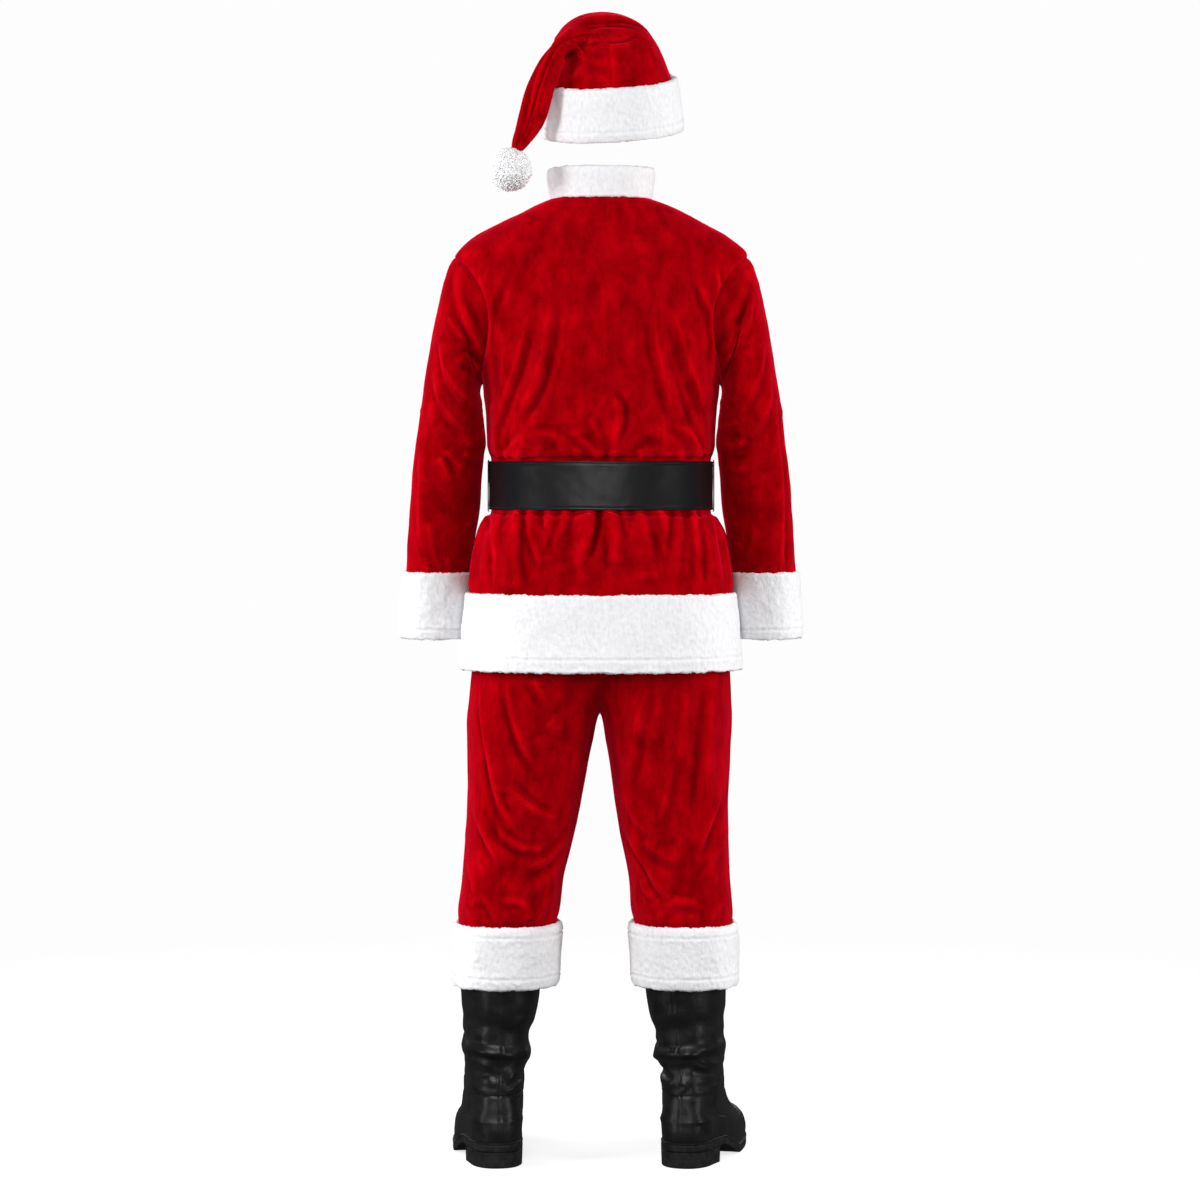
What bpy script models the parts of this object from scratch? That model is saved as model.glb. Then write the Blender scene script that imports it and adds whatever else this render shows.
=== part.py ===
"""A Santa suit, worn by nobody: plush jacket with a wide belt, trousers, hat and boots, each hollow and in the pose
that a standing wearer gives it.

Metres, +Z up. The suit faces -Y. The origin is the middle of the neck opening, where the wearer's shoulders hold
the jacket. Every piece of cloth is a wall on a smooth surface that runs through a short table of sections.
Turns are degrees round a section: on the body and the hat 0 is the centre back, and +90 the wearer's left (+X).
"""

import math

import bmesh
import bpy
import numpy as np

# Walls and gaps.
CLOTH = 0.002
PLUSH_OUT = 0.004
PLUSH_IN = 0.001
SEAM = 0.0003
VINYL = 0.0035
LEATHER = 0.0025

# How full a section is: 2 is an ellipse, more is squarer.
BODY_POWER = 2.25
SLEEVE_POWER = 2.1
LEG_POWER = 2.2

# The jacket's body from hem to neck: height, half width, depth to the back and to the front,
# and how far the centre front drops below the row's height.
JACKET = (
    # height, half width, back, front, drop
    (-0.765, 0.2255, 0.160, 0.166, 0.000),
    (-0.705, 0.2205, 0.156, 0.163, 0.000),
    (-0.645, 0.2145, 0.152, 0.159, 0.000),
    (-0.590, 0.2085, 0.146, 0.154, 0.000),
    (-0.545, 0.1990, 0.138, 0.147, 0.000),
    (-0.520, 0.1860, 0.129, 0.137, 0.000),
    (-0.507, 0.1790, 0.123, 0.131, 0.000),
    (-0.466, 0.1790, 0.123, 0.131, 0.000),
    (-0.426, 0.1790, 0.123, 0.131, 0.000),
    (-0.411, 0.1830, 0.131, 0.136, 0.000),
    (-0.380, 0.1840, 0.1345, 0.141, 0.000),
    (-0.340, 0.1865, 0.1315, 0.139, 0.000),
    (-0.300, 0.1920, 0.1290, 0.135, 0.000),
    (-0.255, 0.1985, 0.1275, 0.130, 0.000),
    (-0.205, 0.2080, 0.1245, 0.123, 0.001),
    (-0.155, 0.2200, 0.1185, 0.113, 0.003),
    (-0.112, 0.2320, 0.1090, 0.101, 0.008),
    (-0.087, 0.2395, 0.0990, 0.091, 0.015),
    (-0.061, 0.2030, 0.0890, 0.081, 0.027),
    (-0.036, 0.1580, 0.0800, 0.075, 0.041),
    (-0.013, 0.1120, 0.0735, 0.071, 0.054),
    (0.000, 0.0780, 0.0700, 0.070, 0.064),
)
ROW_HEM, ROW_BAND, ROW_BELT_LOW, ROW_BELT_HIGH = 0, 2, 6, 8
ROW_UNDERARM, ROW_SHOULDER, ROW_NECK = 12, 17, 21
ARMHOLE_HALF = 34.0
ARMHOLE_STEPS = 7
ROWS_BELOW, ROWS_ABOVE = (2, 3, 4, 5, 6, 8, 9, 10.4), (18.3, 19.6, 21)
BACK_COLUMNS, FRONT_COLUMNS, BAND_COLUMNS = 18, 8, 2
HEM_COLUMNS = 32
FRONT_BAND_HALF, FRONT_BAND_THICK, FRONT_BAND_PRESSED = 0.034, 0.0052, 0.0022
BELT_OFF = 0.0004
BELT_HEIGHTS = (-0.5060, -0.4665, -0.4270)
WAISTBAND_WALL = 0.003

# The gathers under the belt and the fullness above it.
PLEATS = (
    # turn, half width in degrees, how far out, row where it starts, row where it ends
    (-162, 7, 0.005, 5.6, 2.6),
    (-140, 8, 0.006, 5.6, 2.2),
    (-118, 7, 0.005, 5.6, 2.8),
    (-97, 8, 0.006, 5.6, 2.4),
    (-75, 7, 0.006, 5.6, 2.0),
    (-54, 6, 0.005, 5.6, 2.6),
    (-37, 6, 0.004, 5.6, 3.0),
    (-20, 6, 0.005, 5.6, 2.4),
    (-6, 5, 0.004, 5.6, 2.9),
    (8, 5, 0.005, 5.6, 2.3),
    (24, 6, 0.004, 5.6, 2.9),
    (40, 6, 0.006, 5.6, 2.1),
    (57, 7, 0.005, 5.6, 2.6),
    (77, 7, 0.006, 5.6, 2.0),
    (99, 8, 0.005, 5.6, 2.5),
    (120, 7, 0.006, 5.6, 2.2),
    (141, 8, 0.005, 5.6, 2.7),
    (163, 7, 0.006, 5.6, 2.3),
    (-150, 9, 0.004, 8.4, 11.0),
    (-112, 9, 0.003, 8.4, 11.5),
    (-58, 8, 0.004, 8.4, 11.0),
    (-30, 7, 0.003, 8.4, 10.5),
    (-8, 6, 0.004, 8.4, 10.8),
    (14, 7, 0.003, 8.4, 10.3),
    (36, 7, 0.004, 8.4, 11.0),
    (62, 8, 0.003, 8.4, 11.4),
    (110, 9, 0.004, 8.4, 11.0),
    (152, 9, 0.003, 8.4, 11.3),
)

# The left sleeve from the armhole to the cuff's end: the outermost and the innermost point of each ring, its middle
# in depth and its half depth. Ring 0 is the armhole itself.
SLEEVE = (
    # outer x, outer z, inner x, inner z, middle y, half depth
    (0.2400, -0.0850, 0.1920, -0.3000, 0.000, 0.066),
    (0.2475, -0.1060, 0.1965, -0.3035, 0.000, 0.068),
    (0.2570, -0.1370, 0.1980, -0.3090, 0.001, 0.069),
    (0.2670, -0.1820, 0.1985, -0.3160, 0.002, 0.069),
    (0.2775, -0.2370, 0.1970, -0.3270, 0.003, 0.069),
    (0.2865, -0.2920, 0.1945, -0.3460, 0.003, 0.067),
    (0.2940, -0.3460, 0.1915, -0.3730, 0.001, 0.066),
    (0.3015, -0.3970, 0.1900, -0.4060, -0.004, 0.065),
    (0.3085, -0.4500, 0.1945, -0.4520, -0.014, 0.064),
    (0.3135, -0.5050, 0.1985, -0.5050, -0.029, 0.063),
    (0.3180, -0.5600, 0.2080, -0.5600, -0.045, 0.062),
    (0.3220, -0.6120, 0.2130, -0.6120, -0.060, 0.062),
    (0.3260, -0.6650, 0.2170, -0.6650, -0.070, 0.062),
    (0.3285, -0.7180, 0.2225, -0.7180, -0.078, 0.062),
)
RING_CUFF, RING_CUFF_END = 11, 13

# The left leg from waist to cuff: height, the section's middle across, half width, depth to the back and to the
# front. Where the half width is more than the middle, the section is cut off at the centre seam.
LEG = (
    # height, middle, half width, back, front
    (-0.460, 0.0000, 0.1745, 0.1190, 0.1270),
    (-0.530, 0.0010, 0.1735, 0.1190, 0.1265),
    (-0.600, 0.0140, 0.1735, 0.1225, 0.1260),
    (-0.665, 0.0400, 0.1610, 0.126, 0.123),
    (-0.725, 0.0640, 0.1410, 0.127, 0.120),
    (-0.775, 0.0850, 0.1250, 0.126, 0.117),
    (-0.815, 0.0995, 0.1130, 0.123, 0.114),
    (-0.848, 0.1080, 0.1070, 0.119, 0.111),
    (-0.900, 0.1140, 0.0990, 0.113, 0.107),
    (-0.960, 0.1185, 0.0930, 0.107, 0.103),
    (-1.030, 0.1260, 0.0875, 0.101, 0.098),
    (-1.100, 0.1355, 0.0815, 0.097, 0.093),
    (-1.155, 0.1412, 0.0815, 0.0950, 0.0930),
    (-1.180, 0.1440, 0.0782, 0.0875, 0.0875),
    (-1.200, 0.1445, 0.0780, 0.0870, 0.0870),
)
ROW_CROTCH, ROW_LEG_END, ROW_WAISTBAND = 7, 14, 0.5
LEG_COLUMNS = 8
LEG_SHIFT, LEG_SHIFT_TOP, LEG_SHIFT_FALL = 0.0092, -0.76, 0.39
LEG_CUFF = (
    # height, middle, half width, half depth
    (-1.181, 0.1440, 0.0862, 0.0955),
    (-1.194, 0.1443, 0.0880, 0.0980),
    (-1.264, 0.1468, 0.0868, 0.0975),
    (-1.281, 0.1475, 0.0845, 0.0950),
)
LEG_CUFF_WALL = 0.0075

# The hat's band: height above its low edge, half width and half depth. Its low edge's middle is at BAND_MIDDLE.
HAT_BAND = (
    # rise, half width, half depth
    (0.000, 0.1120, 0.1150),
    (0.012, 0.1150, 0.1180),
    (0.068, 0.1110, 0.1140),
    (0.084, 0.1075, 0.1095),
)
BAND_MIDDLE, BAND_LEAN, BAND_PITCH = (-0.0185, 0.000, 0.1060), 3.0, 13.5
HAT_BAND_WALL = 0.0070

# The hat's cone stands in the band, leans over to the wearer's left and back, and falls behind the left ear.
# Each ring: its outermost and its innermost point about the fold, and its half depth across them.
# The first two rings lie against the band's inside, this far above its low edge.
HAT_IN_BAND = (0.030, 0.070)
HAT = (
    # outer x, y, z, inner x, y, z, half depth
    (-0.1076, 0.022, 0.2109, 0.0795, 0.022, 0.1900, 0.0960),
    (-0.0921, 0.026, 0.2441, 0.0740, 0.027, 0.2035, 0.0870),
    (-0.0686, 0.029, 0.2750, 0.0680, 0.034, 0.2125, 0.0750),
    (-0.0387, 0.031, 0.2916, 0.0640, 0.042, 0.2185, 0.0610),
    (-0.0048, 0.034, 0.2979, 0.0605, 0.051, 0.2225, 0.0480),
    (0.0290, 0.043, 0.2907, 0.0588, 0.061, 0.2250, 0.0370),
    (0.0554, 0.060, 0.2684, 0.0578, 0.073, 0.2243, 0.0270),
    (0.0768, 0.080, 0.2386, 0.0583, 0.087, 0.2194, 0.0190),
    (0.0981, 0.093, 0.2114, 0.0630, 0.098, 0.2044, 0.0150),
    (0.1181, 0.096, 0.1713, 0.0750, 0.102, 0.1643, 0.0135),
    (0.1299, 0.088, 0.1296, 0.0862, 0.096, 0.1236, 0.0130),
    (0.1368, 0.078, 0.1033, 0.0984, 0.086, 0.1008, 0.0120),
    (0.1415, 0.072, 0.0870, 0.1146, 0.079, 0.0830, 0.0100),
    (0.1430, 0.070, 0.0742, 0.1262, 0.075, 0.0705, 0.0070),
)
HAT_COLUMNS = 9
POMPOM_MIDDLE, POMPOM_RADIUS = (0.1456, 0.071, 0.0406), 0.0332

# The collar stands on the neck seam: height above it, and how far out from it.
COLLAR = (
    # rise, out
    (0.0007, 0.0035),
    (0.0180, 0.0060),
    (0.0380, 0.0085),
    (0.0480, 0.0075),
)
COLLAR_WALL, COLLAR_HALF_TURN = 0.0065, 152
COLLAR_FRONT_SHARE, COLLAR_FRONT_FROM = 0.65, 95

# The belt's buckle and its keepers.
BUCKLE_WIDTH, BUCKLE_HEIGHT, BUCKLE_BAR, BUCKLE_THICK = 0.108, 0.094, 0.012, 0.005
BUCKLE_CORNER, BUCKLE_CLEAR = 0.014, 0.0008
PRONG_HALF, PRONG_THICK = 0.0042, 0.0031
LOOP_WIDTH, LOOP_WALL, LOOP_REACH = 0.014, 0.0016, 0.003

# A boot in its own frame: x outward, y from the heel's back to the toe, z up from the floor.
BOOT_SHAFT = (
    # height, middle y, half width, half length, outward
    (0.352, 0.0720, 0.0650, 0.0745, -0.011),
    (0.285, 0.0720, 0.0645, 0.0740, -0.010),
    (0.235, 0.0735, 0.0590, 0.0700, -0.007),
    (0.206, 0.0760, 0.0535, 0.0665, -0.004),
    (0.182, 0.0790, 0.0555, 0.0690, -0.004),
    (0.158, 0.0800, 0.0480, 0.0660, -0.001),
    (0.137, 0.0810, 0.0495, 0.0700, -0.001),
    (0.118, 0.0820, 0.0480, 0.0710, 0.000),
)
BOOT_FOOT = (
    # height, back, front, half width at the heel, half width at the ball
    (0.1177, 0.0120, 0.1530, 0.0470, 0.0475),
    (0.0980, 0.0090, 0.1720, 0.0460, 0.0485),
    (0.0800, 0.0070, 0.2080, 0.0440, 0.0490),
    (0.0640, 0.0055, 0.2580, 0.0425, 0.0500),
    (0.0480, 0.0050, 0.2900, 0.0415, 0.0530),
    (0.0300, 0.0045, 0.3010, 0.0405, 0.0545),
    (0.0156, 0.0060, 0.3000, 0.0395, 0.0535),
)
BOOT_COLUMNS, HEEL_COLUMNS = 16, 16
SOLE_FRONT, SOLE_THICK, SOLE_LEDGE = 0.015, 0.0148, 0.0035
HEEL_LIFT, HEEL_START, HEEL_LENGTH, HEEL_HALF, HEEL_TAPER = 0.026, 0.0040, 0.0780, 0.0430, 0.001
SOLE_FLAT_TO, SOLE_DOWN_BY = 0.095, 0.170
FLOOR, HEEL_MIDDLE = -1.571, 0.0430
BOOTS = (
    # side, mirrored, where the heel's middle stands across and back, how far the toe turns out
    ("left", False, (0.1695, 0.0415), 9.6),
    ("right", True, (-0.1388, 0.0434), 18.5),
)


# ---------------------------------------------------------------- tables, sections and lofts


def smooth(points, v):
    """Runs smoothly through points(0), points(1) ...: Catmull-Rom between the two either side of v."""
    count, value = points
    v = np.clip(np.asarray(v, float), 0, count - 1)
    i = np.clip(v.astype(int), 0, count - 2)
    t = (v - i)[..., None]
    before, here = value(np.maximum(i - 1, 0)), value(i)
    there, after = value(i + 1), value(np.minimum(i + 2, count - 1))
    leave, arrive = (there - before) / 2, (after - here) / 2
    return (
        (2 * t**3 - 3 * t**2 + 1) * here
        + (t**3 - 2 * t**2 + t) * leave
        + (3 * t**2 - 2 * t**3) * there
        + (t**3 - t**2) * arrive
    )


def row_of(table, v):
    """A table's columns at row v, which may lie between two rows."""
    numbers = np.array(table, float)
    return np.moveaxis(smooth((len(numbers), lambda i: numbers[i]), v), -1, 0)


def oval(turn, power):
    """(sine, cosine) of a turn in degrees, pushed out to a superellipse."""
    s, c = np.sin(np.radians(turn)), np.cos(np.radians(turn))
    r = (np.abs(s) ** power + np.abs(c) ** power) ** (-1 / power)
    return s * r, c * r


def ease(t):
    t = np.clip(t, 0, 1)
    return t * t * (3 - 2 * t)


def away(first, second):
    """The shortest way round from one turn to the other, in degrees."""
    return (first - second + 180) % 360 - 180


def normal(surface, turn, v):
    """The direction out of a surface, from its slopes along its turns and its rows."""
    across = surface(turn + 0.5, v) - surface(turn - 0.5, v)
    along = surface(turn, v + 0.04) - surface(turn, v - 0.04)
    out = np.cross(along, across)
    return out / np.maximum(np.linalg.norm(out, axis=-1, keepdims=True), 1e-12)


# ---------------------------------------------------------------- surfaces


def jacket(turn, v):
    """The jacket's outside."""
    turn, v = np.broadcast_arrays(np.asarray(turn, float), np.asarray(v, float))
    height, half, back, front, drop = row_of(JACKET, v)
    s, c = oval(turn, BODY_POWER)
    x, y = half * s, np.where(c > 0, back, front) * c
    out = np.zeros_like(x)
    for middle, width, reach, start, end in PLEATS:
        fade = ease((v - min(start, end)) * 3) * ease((max(start, end) - v) * 2)
        out += reach * fade * np.exp(-((away(turn, middle) / width) ** 2))
    grow = 1 + out / np.hypot(x, y)
    return np.stack((x * grow, y * grow, height - drop * np.clip(-c, 0, 1) ** 1.3), -1)


def armhole_edge(v):
    """How far from the side line (turn 90) the armhole's edge lies, in degrees, at a row of the jacket."""
    share = np.clip((v - ROW_UNDERARM) / (ROW_SHOULDER - ROW_UNDERARM), 0, 1)
    return ARMHOLE_HALF * np.sin(np.pi * share) ** 0.8


def armhole_place(turn):
    """Where the left armhole's edge lies on the jacket: turn 0 is the shoulder point and 90 the back."""
    turn = np.asarray(turn, float) % 360
    down = np.where(turn <= 180, turn, 360 - turn) / 180
    v = ROW_SHOULDER - down * (ROW_SHOULDER - ROW_UNDERARM)
    return 90 + armhole_edge(v) * np.where(turn <= 180, -1, 1), v


def sleeve(turn, v):
    """The left sleeve and its cuff: turn 0 is the outer side, 90 the back and 180 the inner side."""
    turn, v = np.broadcast_arrays(np.asarray(turn, float), np.asarray(v, float))
    numbers = np.array(SLEEVE, float)
    s, c = oval(turn, SLEEVE_POWER)

    def ring(i):
        outer_x, outer_z, inner_x, inner_z, middle_y, depth = np.moveaxis(numbers[i], -1, 0)
        x = (outer_x + inner_x) / 2 + (outer_x - inner_x) / 2 * c
        z = (outer_z + inner_z) / 2 + (outer_z - inner_z) / 2 * c
        made = np.stack((x, middle_y + depth * s, z), -1)
        return np.where((i == 0)[..., None], jacket(*armhole_place(turn)), made)

    return smooth((len(SLEEVE), ring), v)


def leg(turn, v):
    """The left leg's outside: turn 0 is the outer side, 180 the back's inner edge and -180 the front's."""
    turn, v = np.broadcast_arrays(np.asarray(turn, float), np.asarray(v, float))
    height, middle, half, back, front = row_of(LEG, v)
    reach = np.degrees(np.arccos(-np.clip(middle / half, 0, 1)))
    s, c = oval(turn / 180 * reach, LEG_POWER)
    x = np.maximum(middle + half * c, 0) + leg_shift(height)
    return np.stack((x, np.where(s > 0, back, front) * s, height), -1)


def leg_shift(height):
    """How far both legs stand to the wearer's left, below the seat."""
    return LEG_SHIFT * np.clip((LEG_SHIFT_TOP - height) / LEG_SHIFT_FALL, 0, 1)


def leg_cuff(turn, v, wall=0.0):
    """The left leg's fur cuff, or its inside, a wall further in."""
    turn, v = np.broadcast_arrays(np.asarray(turn, float), np.asarray(v, float))
    height, middle, half, depth = row_of(LEG_CUFF, v)
    s, c = oval(turn, LEG_POWER)
    return np.stack((middle + LEG_SHIFT + (half - wall) * c, (depth - wall) * s, height), -1)


def band_ring(turn, rise, half, depth):
    """A ring of the hat's band: turn 0 is the wearer's right and 90 the back. The front is raised."""
    lean, pitch = math.radians(BAND_LEAN), math.radians(BAND_PITCH)
    right = np.array((-math.cos(lean), 0, math.sin(lean)))
    up = np.cross((0, math.cos(pitch), -math.sin(pitch)), right)
    up /= np.linalg.norm(up)
    back = np.cross(right, up)
    s, c = oval(turn, 2.0)
    middle = np.array(BAND_MIDDLE) + up * np.asarray(rise)[..., None]
    return middle + right * (half * c)[..., None] + back * (depth * s)[..., None]


def hat_band(turn, v, wall=0.0):
    """The fur band's outside, or its inside, a wall further in."""
    turn, v = np.broadcast_arrays(np.asarray(turn, float), np.asarray(v, float))
    rise, half, depth = row_of(HAT_BAND, v)
    return band_ring(turn, rise, half - wall, depth - wall)


def hat(turn, v):
    """The hat's cone, from inside the band to the tip: turn 0 is the side that goes over the top of the fold."""
    turn, v = np.broadcast_arrays(np.asarray(turn, float), np.asarray(v, float))
    numbers = np.array(HAT, float)
    rises, bands = np.array(HAT_IN_BAND), np.array(HAT_BAND)
    within = len(rises)
    ends = np.stack([band_ring(np.array((0.0, 180.0)), np.full(2, r), *band_inside(r, bands)) for r in rises])
    outer = np.concatenate((ends[:, 0], numbers[:, 0:3]))
    inner = np.concatenate((ends[:, 1], numbers[:, 3:6]))
    depth = np.concatenate(([band_inside(r, bands)[1] for r in rises], numbers[:, 6]))
    middle, half = (outer + inner) / 2, (outer - inner) / 2
    way = np.gradient(middle, axis=0)
    way[:within] = middle[1] - middle[0]
    back = np.cross(half, way)
    back /= np.linalg.norm(back, axis=-1, keepdims=True)
    s, c = oval(turn, 2.0)

    def ring(i):
        return middle[i] + half[i] * c[..., None] + (back * depth[:, None])[i] * s[..., None]

    return smooth((len(middle), ring), v)


def band_inside(rise, bands):
    """The half width and half depth of the cloth that lies against the band's inside."""
    wall = HAT_BAND_WALL + SEAM + 0.0004
    return tuple(np.interp(rise, bands[:, 0], bands[:, k]) - wall for k in (1, 2))


def collar(turn, v):
    """The stand collar's outside, on the neck seam."""
    turn, v = np.broadcast_arrays(np.asarray(turn, float), np.asarray(v, float))
    rise, out = row_of(COLLAR, v)
    seam = jacket(turn, np.full_like(v, ROW_NECK))
    grow = 1 + out / np.hypot(seam[..., 0], seam[..., 1])
    lower = 1 - (1 - COLLAR_FRONT_SHARE) * ease((np.abs(away(turn, 0)) - COLLAR_FRONT_FROM) / 55)
    return np.stack((seam[..., 0] * grow, seam[..., 1] * grow, seam[..., 2] + SEAM + rise * lower), -1)


def boot_shaft(turn, v):
    """A boot's shaft in the boot's frame: turn 0 is the back."""
    turn, v = np.broadcast_arrays(np.asarray(turn, float), np.asarray(v, float))
    height, middle, half, length, outward = row_of(BOOT_SHAFT, v)
    s, c = oval(turn, 2.1)
    return np.stack((outward + half * s, middle - length * c, height), -1)


def sole_top(y):
    """The height of the sole's upper side, from the heel's back to the toe."""
    return SOLE_FRONT + HEEL_LIFT * ease((SOLE_DOWN_BY - y) / (SOLE_DOWN_BY - SOLE_FLAT_TO))


def boot_foot(turn, v):
    """The foot of a boot in the boot's frame: turn 0 is the heel's back and 180 the toe."""
    turn, v = np.broadcast_arrays(np.asarray(turn, float), np.asarray(v, float))
    height, back, front, heel, ball = row_of(BOOT_FOOT, v)
    s, c = oval(turn, 2.25)
    along = (1 - c) / 2
    y = back + (front - back) * along
    x = (heel + (ball - heel) * ease(along / 0.62)) * s
    low = ease((v - 1.5) / 3.5)
    return np.stack((x, y, height + low * (sole_top(y) - SOLE_FRONT)), -1)


# ---------------------------------------------------------------- solids


def paint(name, colour, roughness, metallic=0.0, sheen=0.0):
    material = bpy.data.materials.new(name)
    material.use_nodes = True
    shader = material.node_tree.nodes["Principled BSDF"]
    shader.inputs["Base Color"].default_value = (*colour, 1)
    shader.inputs["Roughness"].default_value = roughness
    shader.inputs["Metallic"].default_value = metallic
    shader.inputs["Sheen Weight"].default_value = sheen
    material.diffuse_color = (*colour, 1)
    return material


def add_object(name, work, material, group):
    """Makes the bmesh an object of the suit, with its faces pointing out."""
    bmesh.ops.recalc_face_normals(work, faces=work.faces)
    mesh = bpy.data.meshes.new(name)
    work.to_mesh(mesh)
    work.free()
    mesh.materials.append(material)
    mesh.shade_smooth()
    mesh.set_sharp_from_angle(angle=math.radians(50))
    thing = bpy.data.objects.new(name, mesh)
    group.objects.link(thing)
    return thing


def pulled_in(grid, edges):
    """The grid with its named edges drawn in by half a seam, so that neighbours lie a seam apart."""
    places = {
        "first": (np.s_[:, 0], np.s_[:, 1]),
        "last": (np.s_[:, -1], np.s_[:, -2]),
        "low": (np.s_[0], np.s_[1]),
        "high": (np.s_[-1], np.s_[-2]),
    }
    grid = grid.copy()
    for edge in edges:
        here, there = places[edge]
        step = grid[there] - grid[here]
        grid[here] += step / np.linalg.norm(step, axis=-1, keepdims=True) * SEAM / 2
    return grid


def wall_between(name, outside, inside, material, group, closed=False):
    """A closed wall between two grids of points, [row][column]. closed joins the last column to the first."""
    rows, columns, _ = outside.shape
    work = bmesh.new()
    sheets = [[[work.verts.new(p) for p in row] for row in grid] for grid in (outside, inside)]
    across = [(c, (c + 1) % columns) for c in range(columns if closed else columns - 1)]
    faces = []
    for sheet in sheets:
        for low, high in zip(sheet[:-1], sheet[1:], strict=True):
            faces += [(low[c], low[d], high[d], high[c]) for c, d in across]
    outer, inner = sheets
    rims = [(outer[end], inner[end], c, d) for end in (0, -1) for c, d in across]
    if not closed:
        sides = [[[row[side] for row in sheet] for sheet in sheets] for side in (0, -1)]
        rims += [(*side, r, r + 1) for side in sides for r in range(rows - 1)]
    for out, into, c, d in rims:
        corners = (out[c], out[d], into[d], into[c])
        # The shorter diagonal is the same one on a neighbour's rim, so that two twisted rims fit.
        first, second = (corners[0].co - corners[2].co).length, (corners[1].co - corners[3].co).length
        faces.append(corners if first <= second else (*corners[1:], corners[0]))
    for a, b, c, d in faces:
        work.faces.new((a, b, c))
        work.faces.new((a, c, d))
    return add_object(name, work, material, group)


def across_rows(rows, turns):
    """Rows and turns as two grids of the same size: turns may be one list for all rows."""
    rows = np.asarray(rows, float)[:, None]
    return np.broadcast_arrays(np.asarray(turns, float), rows)


def offset(surface, turns, rows, out):
    """The surface's grid of points, moved out along its normals by out, one number for each row."""
    turns, rows = across_rows(rows, turns)
    out = np.broadcast_to(np.asarray(out, float).reshape(-1, 1, 1), (len(rows), 1, 1))
    return surface(turns, rows) + normal(surface, turns, rows) * out


def mirror(grid, mirrored):
    return grid * (-1 if mirrored else 1, 1, 1)


# ---------------------------------------------------------------- jacket


def jacket_rows():
    return np.array((*ROWS_BELOW, *np.linspace(ROW_UNDERARM, ROW_SHOULDER, ARMHOLE_STEPS + 1), *ROWS_ABOVE))


def band_turn(v):
    """How far round from the centre front the fur front band reaches, in degrees, at a row."""
    _, half, _, _, _ = row_of(JACKET, v)
    return np.degrees(np.arcsin(FRONT_BAND_HALF / half))


def front_turns(rows):
    """The left front's columns: from the side seam or armhole to the front band's edge, then under the band."""
    start, band = 90 + armhole_edge(rows), 180 - band_turn(rows)
    to_band = start[:, None] + (band - start)[:, None] * np.linspace(0, 1, FRONT_COLUMNS + 1)
    under = band[:, None] + (180 - band)[:, None] * np.linspace(0, 1, BAND_COLUMNS + 1)[1:]
    return np.concatenate((to_band, under), axis=1)


def armhole_way(turn):
    """The direction out of the left armhole's seam, halfway between the jacket's and the sleeve's."""
    body = normal(jacket, *armhole_place(turn))
    arm = normal(sleeve, turn, np.full_like(turn, 0.12))
    both = body + arm
    return both / np.linalg.norm(both, axis=-1, keepdims=True)


def jacket_panel(name, turns, armholes, cloth, group):
    """A red panel. armholes gives, for each of its armhole edges, the column, back or front, and mirrored."""
    rows = jacket_rows()
    outside = pulled_in(offset(jacket, turns, rows, 0), ("first", "last", "low"))
    inside = pulled_in(offset(jacket, turns, rows, -CLOTH), ("first", "last", "low"))
    at = (rows >= ROW_UNDERARM) & (rows <= ROW_SHOULDER)
    down = 180 * (ROW_SHOULDER - rows[at]) / (ROW_SHOULDER - ROW_UNDERARM)
    for column, at_back, mirrored in armholes:
        way = mirror(armhole_way(down if at_back else (360 - down) % 360), mirrored)
        inside[at, column] = outside[at, column] - way * CLOTH
    wall_between(name, outside, inside, cloth, group)


def jacket_back(cloth, group):
    turns = (90 - armhole_edge(jacket_rows()))[:, None] * np.linspace(-1, 1, BACK_COLUMNS + 1)
    jacket_panel("jacket_back", turns, ((-1, True, False), (0, True, True)), cloth, group)


def jacket_front(side, mirrored, cloth, group):
    turns = front_turns(jacket_rows())
    if mirrored:
        turns = 360 - turns[:, ::-1]
    jacket_panel(f"jacket_front_{side}", turns, ((-1 if mirrored else 0, False, mirrored),), cloth, group)


def front_band(fur, group):
    """The fur strip over the closing edge, from the neck to the hem. It is pressed thin under the belt."""
    rows = np.concatenate(((0, 1), jacket_rows()))
    turns = 180 + band_turn(rows)[:, None] * np.linspace(-1, 1, 2 * BAND_COLUMNS + 1)
    pressed = (rows >= ROW_BELT_LOW - 1) & (rows <= ROW_BELT_HIGH + 1)
    outside = offset(jacket, turns, rows, np.where(pressed, FRONT_BAND_PRESSED, FRONT_BAND_THICK))
    inside = offset(jacket, turns, rows, SEAM)
    wall_between("front_band", outside, inside, fur, group)


def hem_band(fur, group):
    """The deep fur band below the red cloth, from one side of the front band round the back to the other."""
    rows = np.array((0, 0.15, 2))
    turns = (180 - band_turn(rows))[:, None] * np.linspace(-1, 1, HEM_COLUMNS + 1)
    outside = offset(jacket, turns, rows, (0.0025, PLUSH_OUT, PLUSH_OUT))
    inside = offset(jacket, turns, rows, -PLUSH_IN)
    grids = [pulled_in(grid, ("first", "last", "high")) for grid in (outside, inside)]
    wall_between("hem_band", *grids, fur, group)


def collar_ring(fur, group):
    rows = np.arange(len(COLLAR), dtype=float)
    front = np.linspace(90, COLLAR_HALF_TURN, 7)
    turns = np.concatenate((-front[::-1], np.linspace(-90, 90, 11)[1:-1], front))
    outside = collar(*across_rows(rows, turns))
    inside = outside.copy()
    inside[..., :2] *= 1 - COLLAR_WALL / np.linalg.norm(outside[..., :2], axis=-1, keepdims=True)
    wall_between("collar", outside, inside, fur, group)


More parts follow.
